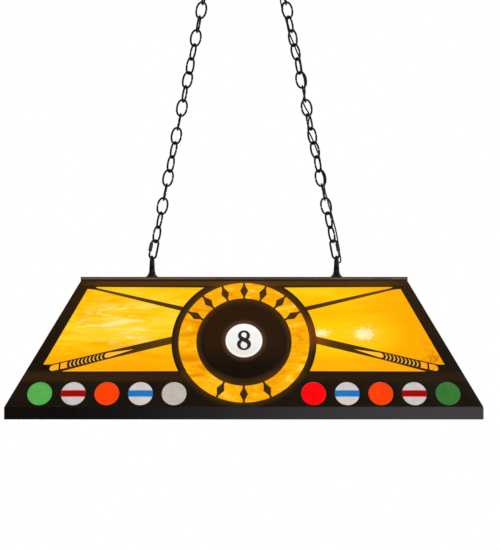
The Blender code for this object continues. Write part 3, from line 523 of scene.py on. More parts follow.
def floor_finish():
    """Matt pale floor that fades to white towards its rim."""
    f = Finish("studio_floor", (0.92, 0.92, 0.92), 0.85)
    fade = f.step(f.distance(*f.axes("XY")), 0.55, 1.55)
    cloud = f.ramp(f.noise(3, 4, 0.6), (0.3, (0.9, 0.9, 0.9)), (0.7, (0.93, 0.93, 0.93)))
    return f.paint(f.mix(fade, cloud, (0, 0, 0)), glow=f.scaled((1, 1, 1), fade), gloss=0.1,
                   relief=(f.noise(120, 3, 0.6), 0.05, 0.001))


STEEL = painted_steel().material
CUE_STEEL = cue_panel_steel()
LIP_STEEL = lip_steel()
BAND_STEEL = band_steel()
WORN = worn_edge()
CHAIN_BLACK = black_hardware("black_chain", (0.004, 0.003, 0.0025), (0.0105, 0.0082, 0.0068), 0.4, 500)
CAST_BLACK = black_hardware("cast_black", (0.006, 0.0038, 0.003), (0.018, 0.0115, 0.009), 0.46, 330, 0.2)
SLEEVE_BLACK = black_hardware("sleeve_black", (0.018,) * 3, (0.035, 0.034, 0.033), 0.42, 500, 0.5)
ZINC = zinc()
BRASS = zinc("brass_base", (0.7, 0.55, 0.28))
LEFT_GLASS = amber_streaky("amber_left", 1.0)
BACK_GLASS = amber_streaky("amber_back", 2.0, 0.8)
END_GLASS = amber_streaky("amber_end", 3.0, 0.5)
RIGHT_GLASS = amber_hammered("amber_right", 1.0)
RING_GLASS = amber_ring()
WHITE = plain_plastic("white_acrylic", (0.7, 0.68, 0.63), 0.35)
PHENOLIC = plain_plastic("socket_phenolic", (0.022, 0.02, 0.019), 0.42)
JACKET = plain_plastic("cord_jacket", (0.016, 0.0135, 0.012), 0.48, 900)
NUMERAL = plain_plastic("numeral_brown", (0.022, 0.01, 0.004), 0.45)
BLACK_LEAD = plain_plastic("wire_black", (0.02, 0.02, 0.02), 0.4)
WHITE_LEAD = plain_plastic("wire_white", (0.75, 0.74, 0.7), 0.4)
DISC = {name: lit_disc(name, *looks) for name, *looks in (
    ("green_light", (0.105, 0.47, 0.082)),
    # The second green is the first at 0.44 of its brightness: the same green, darkened as painted shade.
    ("green_dark", (0.046, 0.205, 0.036)),
    ("red", (1.0, 0.0, 0.001), None, None, 0.97),
    ("orange", (1.0, 0.054, 0.0), None, None, 0.94),
    ("white", (0.6, 0.53, 0.455)),
    ("red_stripe", (0.66, 0.625, 0.62), (0.385, 0.0, 0.0), (0.8, 0.42, 0.44)),
    ("blue_stripe", (0.76, 0.67, 0.64), (0.018, 0.185, 0.53), (0.42, 0.66, 0.82)),
)}
BULB = lit_bulb()
BALL_PAINT = ball_face_paint()
LENS_WHITE = lens_face()

# ---------------- mesh tools


def piece(name, bm, finishes, body, replaces=(), place=Matrix(), smooth=38):
    """Makes a mesh a named piece that rides on a body. Edges sharper than smooth stay sharp."""
    bmesh.ops.recalc_face_normals(bm, faces=bm.faces)
    mesh = bpy.data.meshes.new(name)
    bm.to_mesh(mesh)
    bm.free()
    for finish in finishes if isinstance(finishes, (list, tuple)) else [finishes]:
        mesh.materials.append(finish)
    mesh.shade_smooth()
    mesh.set_sharp_from_angle(angle=radians(smooth))
    made = bpy.data.objects.new(name, mesh)
    made.matrix_world = place
    scene.collection.objects.link(made)
    if body:
        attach(made, body)
    if replaces:
        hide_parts(*replaces)
    return made


def shifted(x, y=0, z=0):
    return Matrix.Translation((x, y, z))


def arc(centre, radius, start, end, steps):
    angles = [radians(start + (end - start) * i / steps) for i in range(steps + 1)]
    return [(centre[0] + radius * cos(a), centre[1] + radius * sin(a)) for a in angles]


def circle(centre, radius, sides):
    return arc(centre, radius, 0, 360, sides)[:-1]


def quarter(steps, first=0):
    """Even angles up to a right angle."""
    return [pi / 2 * i / steps for i in range(first, steps + 1)]


def mirrored(loop):
    return [(-x, y) for x, y in reversed(loop)]


def signed_area(loop):
    return sum(a[0] * b[1] - b[0] * a[1] for a, b in zip(loop, loop[1:] + loop[:1])) / 2


def inset(loop, distance):
    """The loop moved to its left by distance, with mitred corners."""
    moved = []
    for i, point in enumerate(loop):
        before, here = Vector(loop[i - 1]), Vector(point)
        after = Vector(loop[(i + 1) % len(loop)])
        first, second = (here - before).normalized(), (after - here).normalized()
        left, right = Vector((-first.y, first.x)), Vector((-second.y, second.x))
        push = (left + right) / max(0.35, 1 + left.dot(right))
        moved.append(tuple(here + push * distance))
    return moved


def join_rings(bm, rings, finish=0):
    """Faces between rings of vertices that follow each other. A ring can be a single point."""
    for first, second in zip(rings, rings[1:]):
        count = max(len(first), len(second))
        for i in range(count if count > 1 else 0):
            j = (i + 1) % count
            if len(first) == 1:
                corners = (first[0], second[i], second[j])
            elif len(second) == 1:
                corners = (first[i], first[j], second[0])
            else:
                corners = (first[i], first[j], second[j], second[i])
            bm.faces.new(corners).material_index = finish


def rounded_plate(outline, holes, low, high, edge=EDGE, edge_finish=1):
    """A flat plate with rounded edges round its outline and its holes."""
    bm = bmesh.new()
    loops = [outline if signed_area(outline) > 0 else outline[::-1]]
    loops += [hole if signed_area(hole) < 0 else hole[::-1] for hole in holes]
    levels = [
        (edge, low), (0.3 * edge, low + 0.3 * edge), (0, low + edge),
        (0, high - edge), (0.3 * edge, high - 0.3 * edge), (edge, high),
    ]
    bottoms, tops = [], []
    for loop in loops:
        rings = []
        for away, z in levels:
            points = inset(loop, away) if away else loop
            rings.append([bm.verts.new((x, y, z)) for x, y in points])
        bottoms.append(rings[0])
        tops.append(rings[-1])
        join_rings(bm, rings, edge_finish)
    for cap, order in ((bottoms, 1), (tops, -1)):
        verts = [v for ring in cap for v in ring]
        for corners in tessellate_polygon([[v.co for v in ring] for ring in cap]):
            if len(set(corners)) == 3:
                bm.faces.new([verts[k] for k in corners[::order]])
    return bm


def turned(profile, sides, at=Matrix(), shape=None, finish=0, bm=None):
    """Turns a profile of (radius, height). shape scales the radius at each angle."""
    bm = bm or bmesh.new()
    rings = []
    for radius, height in profile:
        ring = []
        for i in range(1 if radius < 1e-7 else sides):
            angle = 2 * pi * i / sides
            reach = radius * (shape(angle, height) if shape else 1)
            spot = Vector((reach * cos(angle), reach * sin(angle), height))
            ring.append(bm.verts.new(at @ spot))
        rings.append(ring)
    join_rings(bm, rings, finish)
    return bm


def tube(path, radii, sides=10, closed=False, widths=None, up=None, finish=0, bm=None):
    """A round or oval bar along a path. widths scales it along the two cross directions."""
    bm = bm or bmesh.new()
    count = len(path)
    radii = radii if isinstance(radii, (list, tuple)) else [radii] * count
    rings, normal = [], up
    for i, point in enumerate(path):
        before = path[i - 1] if closed or i else path[0]
        after = path[(i + 1) % count] if closed or i < count - 1 else path[-1]
        ahead = (after - before).normalized()
        if normal is None:
            normal = ahead.orthogonal().normalized()
        normal = (normal - ahead * normal.dot(ahead)).normalized()
        side = ahead.cross(normal)
        wide, tall = widths[i] if widths else (1, 1)
        ring = []
        for k in range(sides):
            angle = 2 * pi * (k + 0.5) / sides
            offset = side * cos(angle) * wide + normal * sin(angle) * tall
            ring.append(bm.verts.new(point + offset * radii[i]))
        rings.append(ring)
    join_rings(bm, rings + rings[:1] if closed else rings, finish)
    for ring in () if closed else (rings[0], rings[-1][::-1]):
        bm.faces.new(ring).material_index = finish
    return bm


def hexagon(angle):
    """Reach of a hexagon at an angle, where its corners reach 1."""
    turn = (angle + pi / 6) % (pi / 3) - pi / 6
    return cos(pi / 6) / cos(turn)


# ---------------- panels


def slope_frame(run, half_base, turn):
    """Places a panel drawn flat: X across, Y up the slope, Z outwards."""
    across = Vector((1, 0, 0))
    upward = Vector((0, run, SLOPE_RISE)).normalized()
    place = Matrix((across, upward, across.cross(upward))).transposed().to_4x4()
    place.translation = (0, -half_base, PANEL_FOOT)
    return Matrix.Rotation(turn, 4, "Z") @ place


PLACE = {
    "front": slope_frame(FRONT_RUN, BASE_WIDTH / 2, 0),
    "back": slope_frame(FRONT_RUN, BASE_WIDTH / 2, pi),
    "right": slope_frame(END_RUN, BASE_LENGTH / 2, pi / 2),
    "left": slope_frame(END_RUN, BASE_LENGTH / 2, -pi / 2),
}


def front_edge(height):
    return BASE_LENGTH / 2 - END_RUN * height / FRONT_SLOPE


def end_edge(height):
    return BASE_WIDTH / 2 - FRONT_RUN * height / END_SLOPE


def cue_centre(x):
    """Height of the cue whose butt is at the left."""
    return CUE_MIDDLE + CUE_SLOPE * x


def cue_half(x):
    """Half the height of the cue's cross cut, thick at the butt and thin at the tip."""
    stations = ((-0.5, 0.0114), (-0.36, 0.0112), (-0.19, 0.01), (0.165, 0.0051), (0.405, 0.003))
    for (x0, h0), (x1, h1) in zip(stations, stations[1:]):
        if x <= x1:
            return h0 + (h1 - h0) * (x - x0) / (x1 - x0)


def left_windows():
    """The three openings left of the ring."""
    def cue(x, side, along=1):
        return x, cue_centre(x * along) + side * cue_half(x * along)

    def ring(start, end, turn=0):
        low, high = (turn + degrees(atan2(y - RING_CENTRE, x)) for x, y in (start, end))
        return arc((0, RING_CENTRE), RING_OUTER, low, high, 16)

    upper = ring((-0.107, WINDOW_HIGH), (-0.16, 0.282)) + [cue(-0.392, 1, -1), (-0.398, WINDOW_HIGH)]
    middle = ring((-0.168, 0.272), (-0.189, 0.1965)) + [cue(-0.36, 1), cue(-0.5, 1), (-0.5195, 0.117)]
    middle += [(BORDER - front_edge(0.336), 0.336), cue(-0.4, -1, -1)]
    lower = ring((-0.1895, 0.176), (-0.171, 0.098), 360) + [(-0.473, WINDOW_LOW), cue(-0.36, -1)]
    return [upper, middle, lower]


def butt_openings():
    """Cut-outs inside the left cue's butt: a pointed slot, nine slits, a patch and a cap."""
    reach = 0.0085
    slot = [(-0.284, -0.0005), (-0.352, 0.007), (-0.358, 0.0066), (-0.3615, 0.0035), (-0.3625, 0),
            (-0.3615, -0.0035), (-0.358, -0.0066), (-0.352, -0.007)]
    patch = [(-0.4565, reach), (-0.4585, 0), (-0.4565, -reach), (-0.4745, -reach), (-0.4745, reach)]
    cap = [(-0.479, reach), (-0.479, -reach), (-0.494, -0.0083), (-0.4985, -0.0068),
           (-0.5015, -0.0035), (-0.5022, 0.0008), (-0.501, 0.0048), (-0.498, 0.0076), (-0.494, 0.0086)]
    loops = [slot, patch, cap]
    rise = [reach - 2 * reach * k / 6 for k in range(7)]
    bulges = [1 - (y / reach) ** 2 for y in rise]
    for i in range(9):
        x = -0.3655 - 0.0099 * i
        near = [(x - 0.004 * bulge, y) for bulge, y in zip(bulges, rise)]
        far = [(x - 0.0028 - 0.0043 * bulge, y) for bulge, y in zip(bulges, rise)]
        loops.append(near + far[::-1])
    return [[(x, cue_centre(x) + y) for x, y in loop] for loop in loops]


def ring_windows():
    """The amber ring: two plain arcs, and rows of lozenges that tie the middle to the ring."""
    centre = (0, RING_CENTRE)
    middle = (RING_GLASS_OUTER + RING_GLASS_INNER) / 2
    stem, half_width, half_height = 0.0028, 0.0105, 0.0165
    stops = [150 - 20 * i for i in range(7)] + [-66 - 24 * i for i in range(3)]
    across = [(middle + half_height, stem), (middle, half_width), (middle - half_height, stem)]

    def side(angle, turn, rows):
        angles = [angle + turn * degrees(away / radius) for radius, away in rows]
        return [arc(centre, radius, a, a, 1)[0] for a, (radius, _) in zip(angles, rows)]

    windows = []
    for start, end in zip(stops, stops[1:] + [stops[0] - 360]):
        steps = max(6, round((start - end) / 2))
        outer, inner = (degrees(stem / radius) for radius in (RING_GLASS_OUTER, RING_GLASS_INNER))
        loop = arc(centre, RING_GLASS_OUTER, start - outer, end + outer, steps) + side(end, 1, across)
        loop += arc(centre, RING_GLASS_INNER, end + inner, start - inner, steps)
        windows.append(loop + side(start, -1, across[::-1]))
    return windows


BALL_PLACES = [BALL_FIRST + BALL_PITCH * i for i in range(5)]


def ball_holes(places):
    return [circle((x, BALL_ROW), BALL_WINDOW, 64) for x in places]


def long_panel_holes():
    left = left_windows() + butt_openings()
    holes = left + [mirrored(loop) for loop in left] + ring_windows()
    holes.append(circle((0, RING_CENTRE), 0.047, 48))
    return holes + ball_holes([side * x for x in BALL_PLACES for side in (1, -1)])


def end_panel_holes():
    low, high = end_edge(WINDOW_LOW) - BORDER, end_edge(WINDOW_HIGH) - BORDER
    window = [(-low, WINDOW_LOW), (low, WINDOW_LOW), (high, WINDOW_HIGH), (-high, WINDOW_HIGH)]
    return [window] + ball_holes([-BALL_PITCH, 0, BALL_PITCH])


def make_panel(name, side, edge, slope, holes, finish):
    foot, head, setback = 0.0011, slope - 0.0005, 0.0017
    low, high = edge(foot) - setback, edge(head) - setback
    plate = rounded_plate([(-low, foot), (low, foot), (high, head), (-high, head)], holes, -SHEET, 0)
    piece(name + "_visual", plate, [finish, WORN], SHADE, [name], PLACE[side])


def make_discs(side, key, row):
    """Low domed discs in the round windows of one face. row is a list of (x, colour)."""
    rim, crown, foot = BALL_WINDOW - 0.0004, 0.0004, -0.0012
    base = -SHEET - 0.0001
    profile = [(0, base), (rim, base), (rim, foot)]
    profile += [(rim * cos(a) ** 0.6, foot + (crown - foot) * sin(a)) for a in quarter(8, 1)]
    for colour in sorted({colour for _, colour in row}):
        bm = bmesh.new()
        for x in [x for x, own in row if own == colour]:
            turned(profile, 64, shifted(x, BALL_ROW), bm=bm)
        piece("discs_" + key + "_" + colour, bm, DISC[colour], SHADE,
              place=PLACE[side], smooth=60)


for side in FACES:
    make_panel(side + "_panel", side, front_edge, FRONT_SLOPE, long_panel_holes(), CUE_STEEL)
    left_row = ("white", "blue_stripe", "orange", "red_stripe", "green_light")
    right_row = ("red", "blue_stripe", "orange", "red_stripe", "green_dark")
    row = [(-x, colour) for x, colour in zip(BALL_PLACES, left_row)]
    make_discs(side, side, row + list(zip(BALL_PLACES, right_row)))
for side, _ in SIDES:
    make_panel("end_panel_" + side, side, end_edge, END_SLOPE, end_panel_holes(), STEEL)
    make_discs(side, "end_" + side, [(-BALL_PITCH, "orange"), (0, "blue_stripe"), (BALL_PITCH, "red")])

# Beads that close the lines of light along the foot and the head of the panels
for name, length, width, z in (
        ("foot", BASE_LENGTH, BASE_WIDTH, PANEL_FOOT + GAP),
        ("head", TOP_LENGTH, TOP_WIDTH, PANEL_HEAD - GAP)):
    seam = [Vector((x * (length / 2 - 0.0022), y * (width / 2 - 0.0022), z))
            for x, y in ((-1, -1), (1, -1), (1, 1), (-1, 1))]
    bead = tube(seam, 0.0011, 8, closed=True, up=Vector((0, 0, 1)))
    piece("panel_" + name + "_seam", bead, STEEL, SHADE)

# ---------------- ball badge


def numeral_outline(top, low):
    """The outer outline of two ellipses (centre, half width, half height) that overlap."""
    def points(shape, start, other):
        centre, half_width, half_height = shape
        angles = [radians(start + 358 * i / 48) for i in range(49)]
        found = [(half_width * cos(a), centre + half_height * sin(a)) for a in angles]
        return [(x, y) for x, y in found if (x / other[1]) ** 2 + ((y - other[0]) / other[2]) ** 2 > 1]

    return points(top, -89, low) + points(low, 91, top)


def counter(centre, half_width, half_height, lean, tip):
    """A drop-shaped hole of the numeral. tip is 1 where it points up and -1 where it points down."""
    loop = []
    for i in range(36):
        a = 2 * pi * i / 36
        x, y = half_width * cos(a), half_height * sin(a)
        share = max(0.0, tip * sin(a)) ** 2
        loop.append((x * (1 - 0.42 * share) + lean * share, centre + y))
    return loop


rim = [(LENS + 0.0004, 0), (BALL_FACE, 0)]
rim += [(BALL_FACE - 0.003 * (1 - cos(a)), 0.0012 + 0.0028 * sin(a)) for a in quarter(8)]
rim += [(BALL_FACE - 0.003 + (LENS + 0.004 - BALL_FACE) * i / 10, 0.004 + 0.0016 * sin(a))
        for i, a in enumerate(quarter(10, 1), 1)]
rim += [(LENS + 0.0005, 0.0054), (LENS + 0.0004, 0.005), (LENS + 0.0004, 0)]
flat = LENS - 0.0006
crown = [(0, 0.0004), (LENS, 0.0004), (LENS, 0.0044), (flat, 0.0051)]
crown += [(flat * (1 - i / 8), 0.0051 + 0.0009 * sin(a)) for i, a in enumerate(quarter(8, 1), 1)]
outline = numeral_outline((0.013, 0.0158, 0.0152), (-0.0115, 0.0184, 0.0168))
holes = [counter(0.0146, 0.007, 0.0079, 0.0036, -1), counter(-0.0134, 0.0086, 0.0098, -0.0036, 1)]
for side in FACES:
    place = PLACE[side] @ shifted(0, RING_CENTRE, GAP)
    piece("ball_badge_" + side, turned(rim, 128), BALL_PAINT, SHADE,
          ["eight_ball_" + side], place, 30)
    piece("lens_" + side, turned(crown, 96), LENS_WHITE, SHADE,
          ["number_lens_" + side], place, 30)
    piece("numeral_" + side, rounded_plate(outline, holes, 0.0056, 0.0062, 0.0001, 0), NUMERAL, SHADE,
          place=place)

# ---------------- CAD nodes that keep their shape


def dress(node, finish, edge=0.0004):
    """Gives a CAD node its finish and softens its edges with modifiers."""
    obj = frame["nodes"][node]
    obj.data.materials.clear()
    obj.data.materials.append(finish)
    weld = obj.modifiers.new("weld", "WELD")
    weld.merge_threshold = 0.00002
    bevel = obj.modifiers.new("bevel", "BEVEL")
    bevel.width = edge
    bevel.segments = 2
    bevel.limit_method = "ANGLE"
    bevel.angle_limit = radians(30)
    bevel.harden_normals = True


dress("bottom_band", BAND_STEEL, 0.0006)
dress("top_plate", LIP_STEEL, 0.0005)
dress("canopy_pan", STEEL, 0.0006)
dress("canopy_crossbar", ZINC, 0.0003)
for side, _ in SIDES:
    dress("socket_bar_" + side, ZINC, 0.0003)
    dress("glass_end_" + side, END_GLASS)
    dress("ball_strip_end_" + side, WHITE, 0.0003)
    for face in FACES:
        dress("corner_angle_" + face + "_" + side, STEEL, 0.0003)
        dress("ball_strip_" + face + "_" + side, WHITE, 0.0003)
for pane, finish in (
        ("front_left", LEFT_GLASS), ("front_right", RIGHT_GLASS), ("back_left", RIGHT_GLASS),
        ("back_right", BACK_GLASS), ("front_ring", RING_GLASS), ("back_ring", RING_GLASS)):
    dress("glass_" + pane, finish)

# ---------------- chains and quick links


def chain_frame(side):
    """Chain coordinates: X away from the lamp's middle, Z up along the chain, from its lower pivot."""
    outward = Vector((side * cos(CHAIN_LEAN), 0, sin(CHAIN_LEAN)))
    upward = Vector((-side * sin(CHAIN_LEAN), 0, cos(CHAIN_LEAN)))
    place = Matrix((outward, Vector((0, 1, 0)), upward)).transposed().to_4x4()
    place.translation = (side * LAMP_PIVOT.x, 0, LAMP_PIVOT.z)
    return place


def bar_height(link):
    """Height of a link's middle along the chain. The lowest link is number 1."""
    return FIRST_BAR + LINK_BARS / 2 + LINK_PITCH * (link - 1)


def add_link(bm, place, turn, middle, seam_side, dice):
    """An oval link of bent wire, with a butt seam in the middle of one side."""
    half_width, half_length = LINK_WIDTH / 2 - LINK_WIRE, LINK_BARS / 2
    twist = place @ Matrix.Rotation(radians(turn), 4, "Z") @ shifted(0, 0, middle)
    seam = 0.0004 / half_length
    steps = 44
    path, radii = [], []
    for i in range(steps + 1):
        angle = seam + (2 * pi - 2 * seam) * i / steps
        x = seam_side * half_width * copysign(abs(cos(angle)) ** 0.86, cos(angle))
        z = half_length * copysign(abs(sin(angle)) ** 0.98, sin(angle))
        path.append(twist @ Vector((x, 0, z)))
        radii.append(LINK_WIRE * (1 + 0.012 * (dice.random() - 0.5)))
    radii[0] = radii[-1] = 0.82 * LINK_WIRE
    tube(path, radii, 12, up=twist.to_3x3() @ Vector((0, 1, 0)), bm=bm)


QUICK_BEND = QUICK_WIDTH / 2 - QUICK_WIRE
QUICK_MIDDLE, QUICK_STRAIGHT = QUICK_BARS / 2, QUICK_LENGTH / 2 - QUICK_WIDTH / 2
QUICK_HIGH = QUICK_MIDDLE + QUICK_STRAIGHT
QUICK_LOW = QUICK_MIDDLE - QUICK_STRAIGHT
THREADS = 12


def quick_path():
    """From the opening's upper end over the top, down the far side and round to its lower end."""
    top, foot = QUICK_HIGH - 0.0015, QUICK_LOW + 0.001
    points = [(QUICK_BEND, top)]
    points += arc((0, QUICK_HIGH), QUICK_BEND, 0, 180, 20)
    points += arc((0, QUICK_LOW), QUICK_BEND, 180, 360, 20)
    rise = top - QUICK_OPENING - foot
    return points + [(QUICK_BEND, foot + rise * i / THREADS) for i in range(THREADS + 1)]


def sleeve_shape(angle, height):
    """A hexagon whose corners are turned away near both ends of the sleeve."""
    end = min(height - SLEEVE_LOW, QUICK_HIGH - height)
    return 1 if end < 1e-6 else min(hexagon(angle), 0.9 + 0.1 * min(1.0, end / 0.0008))


SLEEVE_LOW = QUICK_HIGH - SLEEVE_LENGTH
bore, neck = QUICK_WIRE + GAP, SLEEVE_RADIUS - 0.0008
sleeve = [(bore, SLEEVE_LOW), (neck, SLEEVE_LOW), (SLEEVE_RADIUS, SLEEVE_LOW + 0.0009)]
sleeve += [(SLEEVE_RADIUS, SLEEVE_LOW + SLEEVE_LENGTH * i / 8) for i in range(1, 8)]
sleeve += [(SLEEVE_RADIUS, QUICK_HIGH - 0.0009), (neck, QUICK_HIGH), (bore, QUICK_HIGH)]
for name, side in SIDES:
    place = chain_frame(side)
    bm = bmesh.new()
    dice = random.Random(7 if side > 0 else 11)
    for link, turn in enumerate(TURNS[name], 1):
        add_link(bm, place, side * turn, bar_height(link), dice.choice((-1, 1)), dice)
    piece("chain_links_" + name, bm, CHAIN_BLACK, CHAIN[name], ["chain_" + name])

    path = [place @ Vector((x, 0, z)) for x, z in quick_path()]
    radii = [QUICK_WIRE] * len(path)
    for i in range(THREADS):
        radii[-1 - i] = QUICK_WIRE * (0.93 if i % 2 else 0.82)
    piece("quick_link_body_" + name, tube(path, radii, 16, up=Vector((0, 1, 0))), CHAIN_BLACK,
          CHAIN[name], ["quick_link_" + name])
    piece("quick_link_sleeve_" + name, turned(sleeve + sleeve[:1], 36, shape=sleeve_shape), SLEEVE_BLACK,
          SLEEVE[name], ["quick_sleeve_" + name], place @ shifted(QUICK_BEND), 25)

# ---------------- loops, nuts and canopy


def make_loop(name, side, body, place, nipple_length):
    """Cast loop: flared foot, waisted neck, a ring in the YZ plane and a threaded nipple."""
    foot = [(0, 0), (0.0155, 0), (0.0163, 0.0006), (0.0165, 0.0016), (0.0161, 0.0028),
            (0.014, 0.0046), (0.0116, 0.0072), (0.0099, 0.0102), (0.0089, 0.0135), (0.0083, 0.016),
            (0.008, 0.019), (0.0078, 0.0225), (0.0079, 0.0262), (0.006, 0.0285), (0, 0.0292)]
    bm = turned(foot, 40, place)
    thick, upper, lower = 0.0028, 0.0056, 0.0064
    bend = LOOP_HOLE / 2 + thick
    top, low = LOOP_HEIGHT - LOOP_BAR - bend, LOOP_NECK - thick + bend
    path, widths = [], []
    for i in range(25):
        a = pi * i / 24
        lift = sin(a)
        path.append((bend * cos(a), top + bend * lift))
        widths.append((thick + (LOOP_BAR - thick) * lift, upper - 0.0026 * lift ** 1.5))
    shares = [i / 5 for i in range(1, 5)]
    path += [(-bend, top + (low - top) * share) for share in shares]
    widths += [(thick, upper + (lower - upper) * share) for share in shares]
    path += arc((0, low), bend, 180, 360, 24)
    widths += [(thick, lower)] * 25
    path += [(bend, low + (top - low) * share) for share in shares]
    widths += [(thick, lower + (upper - lower) * share) for share in shares]
    tube([place @ Vector((0, y, z)) for y, z in path], 1.0, 20, closed=True, widths=widths,
         up=place.to_3x3() @ Vector((1, 0, 0)), bm=bm)
    ridges = round(nipple_length / 0.0008)
    thread = [(0, -nipple_length), (NIPPLE - 0.001, -nipple_length)]
    for i in range(ridges):
        z = -nipple_length + (i + 0.5) * nipple_length / ridges
        thread.append((NIPPLE - (0.0006 if i % 2 else 0), z))
    turned(thread + [(NIPPLE - 0.0004, 0.0005), (0, 0.0005)], 28, place, finish=1, bm=bm)
    piece(name + "_cast_" + side, bm, [CAST_BLACK, ZINC], body, [name + "_" + side])


def hex_nuts(name, body, nuts, radius, bore, replaces=()):
    """Zinc nuts as one piece. nuts is a list of (x, lower face, upper face)."""
    bm = bmesh.new()
    for x, low, high in nuts:
        profile = [(bore, low), (0.86 * radius, low), (radius, low + 0.0007), (radius, high - 0.0007)]
        profile += [(0.86 * radius, high), (bore, high), (bore, low)]
        turned(profile, 36, shifted(x), bm=bm, shape=lambda angle, height: (
            hexagon(angle) if low + 1e-6 < height < high - 1e-6 else 1))
    piece(name, bm, ZINC, body, replaces, smooth=25)


CANOPY_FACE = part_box("canopy_pan")[0].z
SCREW_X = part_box("canopy_screw_right")[1].x - 0.007
UNDER_LIP = LAMP_TOP - SHEET - GAP
face = CANOPY_FACE - GAP
turns = 26
screw = [(0, -0.0006), (0.0014, -0.0006)]
screw += [(0.0021 if i % 2 else 0.0017, -0.001 + (face + 0.001) * (i + 0.5) / turns)
          for i in range(turns)]
screw += [(radius, face - down) for radius, down in (
    (0.006, 0), (0.007, 0.0007), (0.0072, 0.003), (0.0068, 0.0046),
    (0.005, 0.0064), (0.0046, 0.0074), (0.0036, 0.0084), (0, 0.009))]
for name, side in SIDES:
    hung = shifted(side * CEILING_PIVOT.x, 0, face) @ Matrix.Rotation(pi, 4, "X")
    make_loop("lamp_loop", name, SHADE, shifted(side * LAMP_PIVOT.x, 0, LAMP_TOP + GAP), LOOP_NIPPLE)
    make_loop("ceiling_loop", name, ROOT, hung, -CANOPY_FACE - 0.001)
    hex_nuts("hex_nut_" + name, SHADE, [(side * LAMP_PIVOT.x, UNDER_LIP - 0.005, UNDER_LIP)],
             0.0092, 0.0046, ["loop_nut_" + name])
    above, x = CANOPY_FACE + SHEET + 0.0004, side * CEILING_PIVOT.x
    hex_nuts("canopy_nuts_" + name, ROOT, [(x, -0.0078, -0.0034), (x, above, above + 0.0044)],
             0.0088, 0.0046)
    piece("canopy_knob_" + name, turned(screw, 32, shifted(side * SCREW_X)), CHAIN_BLACK, ROOT,
          ["canopy_screw_" + name])

# ---------------- sockets, bulbs and wiring

BULB_CENTRE, BULB_RADIUS, BULB_NECK = LAMP_BOTTOM + 0.22, 0.03, 0.0137
THREAD_STEP, THREAD_RADIUS = 0.0012, 0.01245


def socket_profile(top, bottom):
    shell = [(0, 0), (0.0098, 0), (0.011, 0.0008), (0.0112, 0.003), (0.0138, 0.0066),
             (0.0168, 0.0104), (0.0174, 0.0128)]
    for i in range(7):
        groove = 0.015 + 0.0044 * i
        shell += [(0.0174, groove), (0.0168, groove + 0.0006), (0.0168, groove + 0.0018),
                  (0.0174, groove + 0.0024)]
    rim = [(0.0174, 0.012), (0.0175, 0.011), (0.0175, 0.0008), (0.0168, 0), (0.0146, 0),
           (0.014, 0.0008), (0.014, 0.0318), (0, 0.0318)]
    return [(r, top - down) for r, down in shell] + [(r, bottom + up) for r, up in rim]


def bulb_mesh():
    """A lamp bulb, base up, round the middle of its globe: contact, screw base, neck and globe."""
    tip = 0.078
    contact = [(0, 0), (0.003, 0), (0.0044, 0.0006), (0.005, 0.0016), (0.0085, 0.0034),
               (0.0116, 0.0052)]
    bm = turned([(r, tip - down) for r, down in contact], 36, finish=1)
    rows = []
    for k in range(19):
        rows.append([])
        for i in range(36):
            a = 2 * pi * i / 36
            reach = THREAD_RADIUS + 0.00045 * cos(a - 2 * pi * k / 4.5)
            z = tip - 0.0052 - THREAD_STEP * k
            rows[-1].append(bm.verts.new((reach * cos(a), reach * sin(a), z)))
    join_rings(bm, rows, 1)
    end = tip - 0.0052 - THREAD_STEP * 18
    start = end - 0.003
    glass = [(0.0128, end), (0.0131, end - 0.0004), (0.013, end - 0.0014), (BULB_NECK, start)]
    join = radians(42)
    join_r, join_z = BULB_RADIUS * cos(join), BULB_RADIUS * sin(join)
    for i in range(1, 9):
        share = i / 9
        ease = share * share * (3 - 2 * share)
        glass.append((BULB_NECK + (join_r - BULB_NECK) * ease, start + (join_z - start) * share))
    return turned(glass + arc((0, 0), BULB_RADIUS, 42, -90, 24), 48, bm=bm)


for number in "1234":
    low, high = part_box("socket_" + number)
    x = (low.x + high.x) / 2
    piece("socket_shell_" + number, turned(socket_profile(high.z, low.z), 48, shifted(x)), PHENOLIC,
          SHADE, ["socket_" + number], smooth=35)
    piece("lamp_bulb_glass_" + number, bulb_mesh(), [BULB, BRASS], "lamp_bulb_" + number,
          ["bulb_" + number], shifted(x, 0, BULB_CENTRE), 50)


def smooth_path(points, spacing):
    """Evenly spaced points on a smooth curve. The first and last points given only steer its ends."""
    dense = []
    for a, b, c, d in zip(points, points[1:], points[2:], points[3:]):
        for i in range(24):
            t = i / 24
            dense.append(0.5 * (
                2 * b + (c - a) * t + (2 * a - 5 * b + 4 * c - d) * t * t
                + (3 * b - a - 3 * c + d) * t ** 3
            ))
    dense.append(points[-2])
    lengths = [0]
    for a, b in zip(dense, dense[1:]):
        lengths.append(lengths[-1] + (b - a).length)
    count = round(lengths[-1] / spacing)
    found, k = [], 0
    for i in range(count + 1):
        want = lengths[-1] * i / count
        while k < len(dense) - 2 and lengths[k + 1] < want:
            k += 1
        share = (want - lengths[k]) / (lengths[k + 1] - lengths[k])
        found.append(dense[k].lerp(dense[k + 1], share))
    return found


